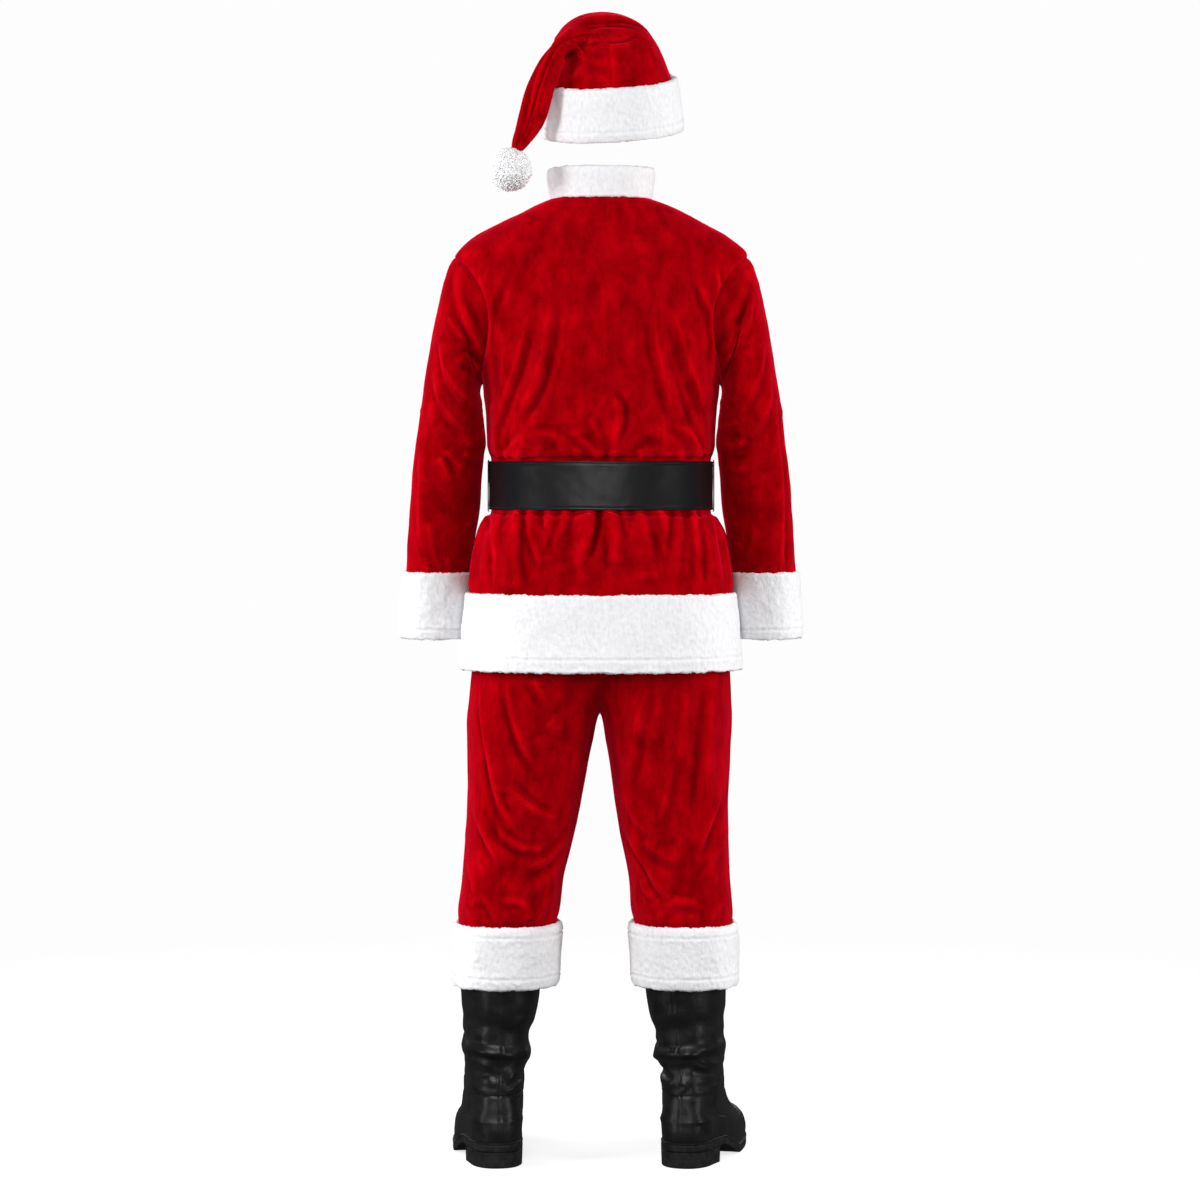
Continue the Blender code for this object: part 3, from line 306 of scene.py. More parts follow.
# %% Smooth runs, ovals and ways out
def smooth(count, value, v):
    """Runs smoothly through value(0), value(1) ... value(count - 1)."""
    v = np.clip(np.asarray(v, float), 0, count - 1)
    i = np.clip(v.astype(int), 0, count - 2)
    t = (v - i)[..., None]
    before, here = value(np.maximum(i - 1, 0)), value(i)
    there, after = value(i + 1), value(np.minimum(i + 2, count - 1))
    leave, arrive = (there - before) / 2, (after - here) / 2
    stay = (2 * t**3 - 3 * t**2 + 1) * here + (3 * t**2 - 2 * t**3) * there
    return stay + (t**3 - 2 * t**2 + t) * leave + (t**3 - t**2) * arrive


def row_of(table, v):
    """A table's columns at row v, which may lie between two rows."""
    numbers = np.array(table, float)
    return np.moveaxis(smooth(len(numbers), lambda i: numbers[i], v), -1, 0)


def oval(turn, power):
    """(sine, cosine) of a turn in degrees, pushed out to a superellipse: 2 is an ellipse, more is squarer."""
    s, c = np.sin(np.radians(turn)), np.cos(np.radians(turn))
    r = (np.abs(s) ** power + np.abs(c) ** power) ** (-1 / power)
    return s * r, c * r


def ease(t):
    """A soft step: 0 up to 0, 1 from 1 on, and flat at both ends of the climb between them."""
    t = np.clip(t, 0, 1)
    return t * t * (3 - 2 * t)


def bell(gap, width):
    """1 where the gap is nothing, and a soft fall to almost 0 at twice the width on both sides."""
    return np.exp(-((gap / width) ** 2))


def matched(turn, v):
    """Turns and rows as arrays of one shape, so that either may be given as a single number."""
    return np.broadcast_arrays(np.asarray(turn, float), np.asarray(v, float))


def unit(ways):
    """The same directions, each one long."""
    return ways / np.linalg.norm(ways, axis=-1, keepdims=True)


def run_along(points):
    """How far along a line of points each of them lies."""
    return np.concatenate(((0,), np.cumsum(np.linalg.norm(np.diff(points, axis=0), axis=1))))


def away(first, second):
    """The shortest way round from one turn to the other, in degrees."""
    return (first - second + 180) % 360 - 180


def way_out(form, turn, v):
    """The direction out of a form, from its slopes along its turns and its rows."""
    across = form(turn + 0.5, v) - form(turn - 0.5, v)
    along = form(turn, v + 0.04) - form(turn, v - 0.04)
    out = np.cross(along, across)
    return out / np.maximum(np.linalg.norm(out, axis=-1, keepdims=True), 1e-12)


# %% The jacket's form
JACKET = (
    # height, half width, back, front, how far the centre front drops
    (-0.765, 0.2255, 0.160, 0.166, 0.000),
    (-0.705, 0.2205, 0.156, 0.163, 0.000),
    (-0.645, 0.2145, 0.152, 0.159, 0.000),
    (-0.590, 0.2085, 0.146, 0.154, 0.000),
    (-0.545, 0.1990, 0.138, 0.147, 0.000),
    (-0.520, 0.1860, 0.129, 0.137, 0.000),
    (-0.507, 0.1790, 0.123, 0.131, 0.000),
    (-0.466, 0.1790, 0.123, 0.131, 0.000),
    (-0.426, 0.1790, 0.123, 0.131, 0.000),
    (-0.411, 0.1830, 0.131, 0.136, 0.000),
    (-0.380, 0.1840, 0.1345, 0.141, 0.000),
    (-0.340, 0.1865, 0.1315, 0.139, 0.000),
    (-0.300, 0.1920, 0.1290, 0.135, 0.000),
    (-0.255, 0.1985, 0.1275, 0.130, 0.000),
    (-0.205, 0.2080, 0.1245, 0.123, 0.001),
    (-0.155, 0.2200, 0.1185, 0.113, 0.003),
    (-0.112, 0.2320, 0.1090, 0.101, 0.008),
    (-0.087, 0.2395, 0.0990, 0.091, 0.015),
    (-0.061, 0.2030, 0.0890, 0.081, 0.027),
    (-0.036, 0.1580, 0.0800, 0.075, 0.041),
    (-0.013, 0.1120, 0.0735, 0.071, 0.054),
    (0.000, 0.0780, 0.0700, 0.070, 0.064),
)
ROW_BAND, ROW_BELT, ROW_UNDERARM, ROW_SHOULDER, ROW_NECK = 2, 7, 12, 17, 21
BODY_POWER, ARMHOLE_HALF = 2.25, 34.0
FRONT_BAND_HALF = 0.034
# The gathers below the belt, and the fullness above it.
GATHERS_BELOW = (
    # turn, half width in degrees, how far out, row where it ends
    (-162, 7, 0.005, 2.6), (-140, 8, 0.006, 2.2), (-118, 7, 0.005, 2.8), (-97, 8, 0.006, 2.4),
    (-75, 7, 0.006, 2.0), (-54, 6, 0.005, 2.6), (-37, 6, 0.004, 3.0), (-20, 6, 0.005, 2.4),
    (-6, 5, 0.004, 2.9), (8, 5, 0.005, 2.3), (24, 6, 0.004, 2.9), (40, 6, 0.006, 2.1),
    (57, 7, 0.005, 2.6), (77, 7, 0.006, 2.0), (99, 8, 0.005, 2.5), (120, 7, 0.006, 2.2),
    (141, 8, 0.005, 2.7), (163, 7, 0.006, 2.3),
)
FULLNESS_ABOVE = (
    (-150, 9, 0.004, 11.0), (-112, 9, 0.003, 11.5), (-58, 8, 0.004, 11.0), (-30, 7, 0.003, 10.5),
    (-8, 6, 0.004, 10.8), (14, 7, 0.003, 10.3), (36, 7, 0.004, 11.0), (62, 8, 0.003, 11.4),
    (110, 9, 0.004, 11.0), (152, 9, 0.003, 11.3),
)
ROW_GATHERED, ROW_FULL = 5.6, 8.4


def jacket(turn, v):
    """The jacket's outside: turn 0 is the centre back and 90 the wearer's left."""
    turn, v = matched(turn, v)
    height, half, back, front, drop = row_of(JACKET, v)
    s, c = oval(turn, BODY_POWER)
    x, y = half * s, np.where(c > 0, back, front) * c
    out = np.zeros_like(x)
    for gathers, start in ((GATHERS_BELOW, ROW_GATHERED), (FULLNESS_ABOVE, ROW_FULL)):
        for middle, width, reach, end in gathers:
            fade = ease((v - min(start, end)) * 3) * ease((max(start, end) - v) * 2)
            out += reach * fade * bell(away(turn, middle), width)
    grow = 1 + out / np.hypot(x, y)
    return np.stack((x * grow, y * grow, height - drop * np.clip(-c, 0, 1) ** 1.3), -1)


def armhole_edge(v):
    """How far from the side line the armhole's edge lies, in degrees, at a row of the jacket."""
    share = np.clip((v - ROW_UNDERARM) / (ROW_SHOULDER - ROW_UNDERARM), 0, 1)
    return ARMHOLE_HALF * np.sin(np.pi * share) ** 0.8


def armhole_place(turn):
    """Where the left armhole's edge lies on the jacket: turn 0 is the shoulder point and 90 the back."""
    turn = np.asarray(turn, float) % 360
    down = np.where(turn <= 180, turn, 360 - turn) / 180
    v = ROW_SHOULDER - down * (ROW_SHOULDER - ROW_UNDERARM)
    return 90 + armhole_edge(v) * np.where(turn <= 180, -1, 1), v


def band_turn(v):
    """How far round from the centre front the fur front band reaches, in degrees, at a row."""
    return np.degrees(np.arcsin(FRONT_BAND_HALF / row_of(JACKET, v)[1]))


# %% The sleeve's form
SLEEVE = (
    # outer x, outer z, inner x, inner z, middle y, half depth; row 0 is the armhole itself
    (0.2400, -0.0850, 0.1920, -0.3000, 0.000, 0.066),
    (0.2475, -0.1060, 0.1965, -0.3035, 0.000, 0.068),
    (0.2570, -0.1370, 0.1980, -0.3090, 0.001, 0.069),
    (0.2670, -0.1820, 0.1985, -0.3160, 0.002, 0.069),
    (0.2775, -0.2370, 0.1970, -0.3270, 0.003, 0.069),
    (0.2865, -0.2920, 0.1945, -0.3460, 0.003, 0.067),
    (0.2940, -0.3460, 0.1915, -0.3730, 0.001, 0.066),
    (0.3015, -0.3970, 0.1900, -0.4060, -0.004, 0.065),
    (0.3085, -0.4500, 0.1945, -0.4520, -0.014, 0.064),
    (0.3135, -0.5050, 0.1985, -0.5050, -0.029, 0.063),
    (0.3180, -0.5600, 0.2080, -0.5600, -0.045, 0.062),
    (0.3220, -0.6120, 0.2130, -0.6120, -0.060, 0.062),
    (0.3260, -0.6650, 0.2170, -0.6650, -0.070, 0.062),
    (0.3285, -0.7180, 0.2225, -0.7180, -0.078, 0.062),
)
ROW_SLEEVE_CUFF, ROW_SLEEVE_END, SLEEVE_POWER = 11, 13, 2.1


def sleeve(turn, v):
    """The left sleeve and its cuff: turn 0 is the outer side, 90 the back and 180 the inner side."""
    turn, v = matched(turn, v)
    numbers = np.array(SLEEVE, float)
    s, c = oval(turn, SLEEVE_POWER)
    seam = jacket(*armhole_place(turn))

    def ring(i):
        outer_x, outer_z, inner_x, inner_z, middle_y, depth = np.moveaxis(numbers[i], -1, 0)
        x = (outer_x + inner_x) / 2 + (outer_x - inner_x) / 2 * c
        z = (outer_z + inner_z) / 2 + (outer_z - inner_z) / 2 * c
        return np.where((i == 0)[..., None], seam, np.stack((x, middle_y + depth * s, z), -1))

    return smooth(len(SLEEVE), ring, v)


# %% The leg's form
LEG = (
    # height, the section's middle across, half width, back, front
    (-0.460, 0.0000, 0.1745, 0.1190, 0.1270),
    (-0.530, 0.0010, 0.1735, 0.1190, 0.1265),
    (-0.600, 0.0140, 0.1735, 0.1225, 0.1260),
    (-0.665, 0.0400, 0.1610, 0.126, 0.123),
    (-0.725, 0.0640, 0.1410, 0.127, 0.120),
    (-0.775, 0.0850, 0.1250, 0.126, 0.117),
    (-0.815, 0.0995, 0.1130, 0.123, 0.114),
    (-0.848, 0.1080, 0.1070, 0.119, 0.111),
    (-0.900, 0.1140, 0.0990, 0.113, 0.107),
    (-0.960, 0.1185, 0.0930, 0.107, 0.103),
    (-1.030, 0.1260, 0.0875, 0.101, 0.098),
    (-1.100, 0.1355, 0.0815, 0.097, 0.093),
    (-1.155, 0.1412, 0.0815, 0.0950, 0.0930),
    (-1.180, 0.1440, 0.0782, 0.0875, 0.0875),
    (-1.200, 0.1445, 0.0780, 0.0870, 0.0870),
)
ROW_WAISTBAND, ROW_SEAT, ROW_LEG_END, LEG_POWER = 0.5, 4.4, 14, 2.2
LEG_SHIFT, LEG_SHIFT_TOP, LEG_SHIFT_FALL = 0.0092, -0.76, 0.39
LEG_CUFF = (
    # height, middle, half width, half depth
    (-1.181, 0.1440, 0.0862, 0.0955),
    (-1.194, 0.1443, 0.0880, 0.0980),
    (-1.264, 0.1468, 0.0868, 0.0975),
    (-1.281, 0.1475, 0.0845, 0.0950),
)


def leg_shift(height):
    """How far both legs stand to the wearer's left, below the seat."""
    return LEG_SHIFT * np.clip((LEG_SHIFT_TOP - height) / LEG_SHIFT_FALL, 0, 1)


def leg(turn, v):
    """The left leg's outside: turn 0 is the outer side, 180 the back's inner edge and -180 the front's."""
    turn, v = matched(turn, v)
    height, middle, half, back, front = row_of(LEG, v)
    reach = np.degrees(np.arccos(-np.clip(middle / half, 0, 1)))
    s, c = oval(turn / 180 * reach, LEG_POWER)
    x = np.maximum(middle + half * c, 0) + leg_shift(height)
    return np.stack((x, np.where(s > 0, back, front) * s, height), -1)


def leg_cuff(turn, v):
    """The left leg's fur cuff."""
    turn, v = matched(turn, v)
    height, middle, half, depth = row_of(LEG_CUFF, v)
    s, c = oval(turn, LEG_POWER)
    return np.stack((middle + LEG_SHIFT + half * c, depth * s, height), -1)


def mirrored(grid, like_leg=False):
    """The other side's grid, its columns turned round so that faces still point the same way, in or out.
    Both legs shift to the same side."""
    made = grid[:, ::-1] * (-1, 1, 1)
    if like_leg:
        made[..., 0] += 2 * leg_shift(made[..., 2])
    return made


# %% The hat's forms
HAT_BAND = (
    # rise, half width, half depth
    (0.000, 0.1120, 0.1150),
    (0.012, 0.1150, 0.1180),
    (0.068, 0.1110, 0.1140),
    (0.084, 0.1075, 0.1095),
)
BAND_MIDDLE, BAND_LEAN, BAND_PITCH, BAND_WALL = (-0.0185, 0.000, 0.1060), 3.0, 13.5, 0.0077
HAT_IN_BAND = (0.030, 0.070)
HAT = (
    # outer x, y, z, inner x, y, z about the fold, half depth across them
    (-0.1076, 0.022, 0.2109, 0.0795, 0.022, 0.1900, 0.0960),
    (-0.0921, 0.026, 0.2441, 0.0740, 0.027, 0.2035, 0.0870),
    (-0.0686, 0.029, 0.2750, 0.0680, 0.034, 0.2125, 0.0750),
    (-0.0387, 0.031, 0.2916, 0.0640, 0.042, 0.2185, 0.0610),
    (-0.0048, 0.034, 0.2979, 0.0605, 0.051, 0.2225, 0.0480),
    (0.0290, 0.043, 0.2907, 0.0588, 0.061, 0.2250, 0.0370),
    (0.0554, 0.060, 0.2684, 0.0578, 0.073, 0.2243, 0.0270),
    (0.0768, 0.080, 0.2386, 0.0583, 0.087, 0.2194, 0.0190),
    (0.0981, 0.093, 0.2114, 0.0630, 0.098, 0.2044, 0.0150),
    (0.1181, 0.096, 0.1713, 0.0750, 0.102, 0.1643, 0.0135),
    (0.1299, 0.088, 0.1296, 0.0862, 0.096, 0.1236, 0.0130),
    (0.1368, 0.078, 0.1033, 0.0984, 0.086, 0.1008, 0.0120),
    (0.1415, 0.072, 0.0870, 0.1146, 0.079, 0.0830, 0.0100),
    (0.1430, 0.070, 0.0742, 0.1262, 0.075, 0.0705, 0.0070),
)
POMPOM_MIDDLE, POMPOM_RADIUS = (0.1456, 0.071, 0.0406), 0.0332


def band_ring(turn, rise, half, depth):
    """A ring of the hat's band: turn 0 is the wearer's right and 90 the back. The front is raised."""
    lean, pitch = math.radians(BAND_LEAN), math.radians(BAND_PITCH)
    right = np.array((-math.cos(lean), 0, math.sin(lean)))
    up = np.cross((0, math.cos(pitch), -math.sin(pitch)), right)
    up /= np.linalg.norm(up)
    back = np.cross(right, up)
    s, c = oval(turn, 2.0)
    middle = np.array(BAND_MIDDLE) + up * np.asarray(rise)[..., None]
    return middle + right * (half * c)[..., None] + back * (depth * s)[..., None]


def hat_band(turn, v):
    """The fur band's outside."""
    turn, v = matched(turn, v)
    return band_ring(turn, *row_of(HAT_BAND, v))


def hat(turn, v):
    """The hat's cone, from inside the band to the tip. Turn 0 is the side that goes over the fold's top."""
    turn, v = matched(turn, v)
    numbers, bands = np.array(HAT, float), np.array(HAT_BAND)
    inside = [
        tuple(np.interp(rise, bands[:, 0], bands[:, k]) - BAND_WALL for k in (1, 2))
        for rise in HAT_IN_BAND
    ]
    ends = np.stack([
        band_ring(np.array((0.0, 180.0)), np.full(2, rise), *sizes)
        for rise, sizes in zip(HAT_IN_BAND, inside, strict=True)
    ])
    outer = np.concatenate((ends[:, 0], numbers[:, 0:3]))
    inner = np.concatenate((ends[:, 1], numbers[:, 3:6]))
    depth = np.concatenate(([size[1] for size in inside], numbers[:, 6]))
    middle, half = (outer + inner) / 2, (outer - inner) / 2
    way = np.gradient(middle, axis=0)
    way[: len(inside)] = middle[1] - middle[0]
    back = unit(np.cross(half, way))
    s, c = oval(turn, 2.0)

    def ring(i):
        return middle[i] + half[i] * c[..., None] + (back * depth[:, None])[i] * s[..., None]

    return smooth(len(middle), ring, v)


print("rows in the forms: jacket", len(JACKET), "sleeve", len(SLEEVE), "leg", len(LEG), "hat", len(HAT))

# %% [markdown]
# ## Cloth
# Real cloth is a thin sheet, so each cut panel is one fine grid of points on its form. It is then lifted
# and sunk a few millimetres, in three layers: a slow wander, because cloth never lies dead flat; a small
# rumple; and the folds that a wearer makes. A simulation could find folds, but not these ones, so each fold
# is given one by one: its route, how wide and high it is, and to which side it leans, because a fold that
# hangs is steeper underneath.

# %% Grids and meshes
CLOTH_GAP = 0.0029


def even_rows(form, start, end, gap, *turns):
    """Rows of a form from start to end, gap apart or less along each of these turns."""
    fine = np.linspace(start, end, 600)
    lines = [form(np.full_like(fine, turn), fine) for turn in turns]
    steps = np.max([np.linalg.norm(np.diff(line, axis=0), axis=1) for line in lines], axis=0)
    run = np.concatenate(((0,), np.cumsum(steps)))
    return np.interp(np.linspace(0, run[-1], round(run[-1] / gap) + 1), run, fine)


def volume(grid, quads):
    """What the quads enclose, in cubic metres: below 0 when they face inwards."""
    a, b, c, d = np.moveaxis(grid.reshape(-1, 3)[quads], 1, 0)
    return ((a * np.cross(b, c)).sum() + (a * np.cross(c, d)).sum()) / 6


cut_size = {}


def longest(grid):
    """The longest of the grid's rows, in steps of four points so that fine lumps don't lengthen it."""
    return np.linalg.norm(np.diff(grid[:, ::4], axis=1), axis=-1).sum(axis=1).max()


def make_piece(name, grid, material, around=False, along=False, capped=False):
    """One piece from a grid of points, [row][column]. around joins its last column to its first, along its
    last row to its first, and capped closes the open ends of a tube of rows."""
    rows, columns, _ = grid.shape
    cut_size[name] = (longest(grid), longest(grid.swapaxes(0, 1)))
    index = np.arange(rows * columns).reshape(rows, columns)
    if around:
        index = np.concatenate((index, index[:, :1]), axis=1)
    if along:
        index = np.concatenate((index, index[:1]), axis=0)
    quads = np.stack((index[:-1, :-1], index[1:, :-1], index[1:, 1:], index[:-1, 1:]), -1).reshape(-1, 4)
    faces = quads.tolist()
    if capped:
        faces += [index[:-1, 0].tolist()[::-1], index[:-1, -1].tolist()]
    if along and volume(grid, quads) < 0:
        faces = [face[::-1] for face in faces]
    mesh = bpy.data.meshes.new(name)
    mesh.from_pydata(grid.reshape(-1, 3).tolist(), [], faces)
    mesh.shade_smooth()
    mesh.materials.append(material)
    return into_scene(name, mesh)


made_triangles = {}


def stands_for(piece, slot, *nodes):
    """The piece rides on the suit's one body and replaces these solids. slot is not used."""
    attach(piece, "root")
    if nodes:
        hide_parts(*nodes)
    made_triangles[piece.name] = sum(len(face.vertices) - 2 for face in piece.data.polygons)
    print(piece.name, made_triangles[piece.name], "triangles")
    return piece


# %% Rumples, distances and folds
FOLD_GAIN, VALLEY_SHARE = 2.3, 0.6


def rumple(points, *layers):
    """Uneven rise and fall, from layers of noise, each with the size of its lumps and its height."""
    flat = points.reshape(-1, 3)
    rise = np.zeros(len(flat))
    for size, height in layers:
        rise += height * np.fromiter((noise.noise(Vector(p)) for p in flat / size), float, len(flat))
    return rise.reshape(points.shape[:-1])


def distance_to(points, line):
    """How far each point lies from a line of points."""
    tree = KDTree(len(line))
    for number, place in enumerate(line):
        tree.insert(place, number)
    tree.balance()
    flat = points.reshape(-1, 3)
    return np.fromiter((tree.find(p)[2] for p in flat), float, len(flat)).reshape(points.shape[:-1])


def press_folds(points, out, table, facing=1, sideways=1, shift=0.0, gain=1.0, held=()):
    """How far a table's folds lift each point. A fold's route is laid on the points that face +Y, or -Y where
    facing is -1. A sideways of -1 mirrors the table. At the heights in held a fold runs on into a seam, and
    everywhere else it fades out."""
    flat, way = points.reshape(-1, 3), out.reshape(-1, 3)
    lift = np.zeros(len(flat))
    seen = way[:, 1] * facing > 0.03
    cloth, cloth_way = flat[seen], way[seen]
    for width, height, lean, *route in table:
        width = width / 1000
        marks = np.array(route, float) / 1000 * (sideways, 1) + (shift, 0)
        count = 9 * len(marks)
        run = smooth(len(marks), lambda i: marks[i], np.linspace(0, len(marks) - 1, count))
        apart = (run[:, None, 0] - cloth[:, 0]) ** 2 + (run[:, None, 1] - cloth[:, 2]) ** 2
        near = np.argmin(apart, axis=1)
        path = cloth[near].copy()
        path[:, 0], path[:, 2] = run[:, 0], run[:, 1]
        path[:, 1] = np.convolve(np.pad(path[:, 1], 3, mode="edge"), np.full(7, 1 / 7), mode="valid")
        along = np.gradient(path, axis=0)
        step = np.maximum(np.linalg.norm(along, axis=1), 1e-6)
        along /= step[:, None]
        side = np.cross(along, cloth_way[near])
        side /= np.maximum(np.linalg.norm(side, axis=1, keepdims=True), 1e-6)
        low, high = path.min(axis=0) - 4 * width, path.max(axis=0) + 4 * width
        picked = np.flatnonzero(np.all((flat > low) & (flat < high), axis=1))
        gap = flat[picked][:, None] - path
        nearest = np.argmin((gap**2).sum(axis=-1), axis=1)
        gap = gap[np.arange(len(picked)), nearest]
        off = (gap * side[nearest]).sum(axis=-1) / width
        on = (gap * along[nearest]).sum(axis=-1)
        past = np.where(((nearest == 0) & (on < 0)) | ((nearest == count - 1) & (on > 0)), on / width, 0)
        share = np.clip((nearest + on / step[nearest]) / (count - 1), 0, 1)
        strength = np.exp(-(past**2))
        if not any(abs(run[0, 1] - line) < 0.014 for line in held):
            strength *= ease(share / 0.25)
        if not any(abs(run[-1, 1] - line) < 0.014 for line in held):
            strength *= ease((1 - share) / 0.35)
        toward = off * math.copysign(1, lean) * sideways * facing
        # A fold that leans rises slowly to a sharp crest, then drops into a narrow valley. Others are round.
        steep = np.where(toward > 0, 1 - 0.45 * abs(lean), 1 + 1.5 * abs(lean))
        shape = np.exp(-np.abs(off / steep) ** (1.4 if lean else 2.0))
        shape -= 0.5 * abs(lean) * bell(toward - 1.5, 0.7)
        share_of_height = 1.0 if height > 0 else VALLEY_SHARE
        lift[picked] += height / 1000 * share_of_height * gain * FOLD_GAIN * strength * shape
    return lift.reshape(points.shape[:-1])


def beside_seam(gap, lift, swell=0.0013, calm=0.011):
    """The lift near a seam: nothing on the seam itself, and a little fullness beside it."""
    return lift * ease(gap / calm) + swell * ease(gap / 0.006) * (1 - ease((gap - 0.007) / 0.03))


# %% [markdown]
# ### Where the folds lie
# A fold is charted as a tailor chalks it on the worn garment: a few points across and up, seen from behind.
# Cloth pulls from the shoulder blades down to the belt, bunches over the belt, fans out in gathers under
# it, creases in the crook of the elbow, and drops in swags from the seat to the back of the knee and onto
# the cuffs. Every row of these tables is one fold: its width, its height, its lean, and then points
# (across, height) along it. A lean runs from -1 to 1, and all the rest is in millimetres.

# %% Fold tables
BACK_FOLDS = (
    (9, 2.2, -0.5, (153, -110), (166, -147), (177, -183), (183, -226), (187, -266)),
    (7, 1.6, 0.5, (191, -120), (193, -155), (191, -190), (188, -226)),
    (6, 1.4, 0.4, (209, -110), (207, -139), (203, -171)),
    (10, 3.4, -0.7, (86, -158), (83, -199), (88, -242), (97, -282), (112, -322), (131, -358), (147, -390)),
    (9, 2.6, -0.6, (116, -190), (126, -242), (140, -290), (155, -330), (169, -370), (176, -402)),
    (12, 1.8, 0.4, (163, -202), (156, -242), (156, -282), (161, -322)),
    (14, 1.6, 0.5, (21, -85), (5, -126), (-3, -171), (-6, -234), (-8, -306)),
    (10, 3, 0.6, (-86, -190), (-89, -242), (-99, -285), (-110, -333), (-126, -370)),
    (11, 3, 0.8, (-116, -183), (-128, -234), (-142, -282), (-158, -325), (-171, -362)),
    (8, -2.6, 0, (-105, -242), (-120, -298), (-139, -349), (-158, -394), (-169, -419)),
    (8, 2.2, 0.6, (-148, -123), (-167, -167), (-177, -206), (-180, -253), (-175, -306)),
    (6, 1.7, -0.5, (-183, -110), (-190, -151), (-190, -190), (-188, -226)),
    (6, 1.4, 0.4, (-209, -117), (-214, -147), (-210, -178)),
    (16, 1.2, 0, (-49, -171), (-53, -218), (-49, -266), (-56, -306)),
    (14, 1.1, 0, (49, -186), (46, -242), (53, -298)),
    (8, 2.6, -0.7, (-14, -327), (-25, -336), (-29, -358), (-22, -384), (-16, -409)),
    (8, -2, 0, (21, -347), (6, -363), (0, -387)),
    (9, 1.6, 0.4, (5, -341), (13, -362), (6, -382), (-3, -403)),
    (15, 1.9, 0, (83, -336), (101, -362), (123, -384), (142, -405)),
    (8, 1.6, -0.5, (152, -417), (137, -398), (113, -387), (86, -384), (62, -394), (48, -413)),
    (7, -1.5, 0, (96, -417), (83, -405), (66, -403)),
    (8, 1.6, 0.5, (45, -374), (34, -390), (18, -403), (6, -419)),
    (7, -1.4, 0, (29, -384), (18, -395), (8, -413)),
    (9, 1.7, 0.6, (-34, -413), (-50, -394), (-72, -382), (-94, -389), (-107, -409)),
    (8, -1.6, 0, (-56, -417), (-70, -403), (-88, -405)),
    (9, -1.9, 0, (-101, -373), (-118, -382), (-133, -398), (-144, -419)),
    (9, 1.6, -0.4, (-113, -368), (-136, -378), (-153, -398), (-163, -417)),
    (7, 1.5, 0.3, (129, -421), (124, -405), (113, -395)),
    (7, -1.2, 0, (144, -421), (147, -405), (153, -390)),
    (7, 1.4, 0, (166, -421), (169, -403), (174, -384)),
    (6, -1.1, 0, (-10, -421), (-6, -406)),
    (6, 1.1, 0, (37, -421), (40, -406)),
    (6, 1.1, 0, (-62, -421), (-64, -408)),
    (6, 1, 0, (-18, -421), (-21, -409)),
    (6, -1, 0, (-86, -421), (-89, -409)),
    (6, 1.1, 0, (-126, -421), (-123, -408)),
)
SKIRT_FOLDS = (
    (8, 1.9, 0.8, (174, -508), (172, -545), (169, -585), (171, -639)),
    (8, 2.2, -0.6, (132, -508), (137, -545), (137, -585), (131, -620), (128, -641)),
    (6, -1.6, 0, (154, -508), (158, -529), (163, -553)),
    (8, 2, 0.6, (115, -508), (112, -542), (102, -574), (94, -601)),
    (6, -1.7, 0, (97, -507), (94, -524), (89, -540)),
    (6, 1.6, 0, (84, -507), (86, -524), (89, -537)),
    (7, 1.7, 0.6, (57, -507), (65, -534), (73, -556), (76, -578)),
    (6, -1.6, 0, (45, -507), (49, -529), (57, -550)),
    (9, 2.3, -0.6, (16, -508), (22, -545), (34, -580), (41, -614)),
    (6, -2.6, 0, (2, -505), (6, -534), (13, -562), (19, -585)),
    (9, 2.3, 0.6, (-11, -508), (-18, -545), (-21, -574), (-18, -609)),
    (6, -1.9, 0, (-27, -507), (-34, -534), (-38, -556)),
    (7, 1.7, -0.5, (-62, -507), (-70, -537), (-78, -569), (-78, -594)),
    (6, -1.6, 0, (-49, -507), (-46, -527)),
    (7, 1.7, -0.5, (-96, -507), (-104, -532), (-99, -561), (-105, -585)),
    (6, -1.6, 0, (-115, -507), (-110, -531), (-107, -550)),
    (7, -2, 0, (-134, -507), (-135, -537), (-132, -572), (-126, -625)),
    (8, 1.7, 0.5, (-148, -507), (-150, -545), (-153, -585), (-151, -636)),
    (7, -2.4, 0, (-158, -508), (-164, -553), (-166, -593), (-164, -641)),
    (9, 1.9, -0.5, (-175, -510), (-185, -553), (-191, -593), (-193, -637)),
    (16, 1, 0, (65, -585), (62, -614), (65, -639)),
    (16, 0.9, 0, (-62, -601), (-65, -623), (-64, -642)),
)
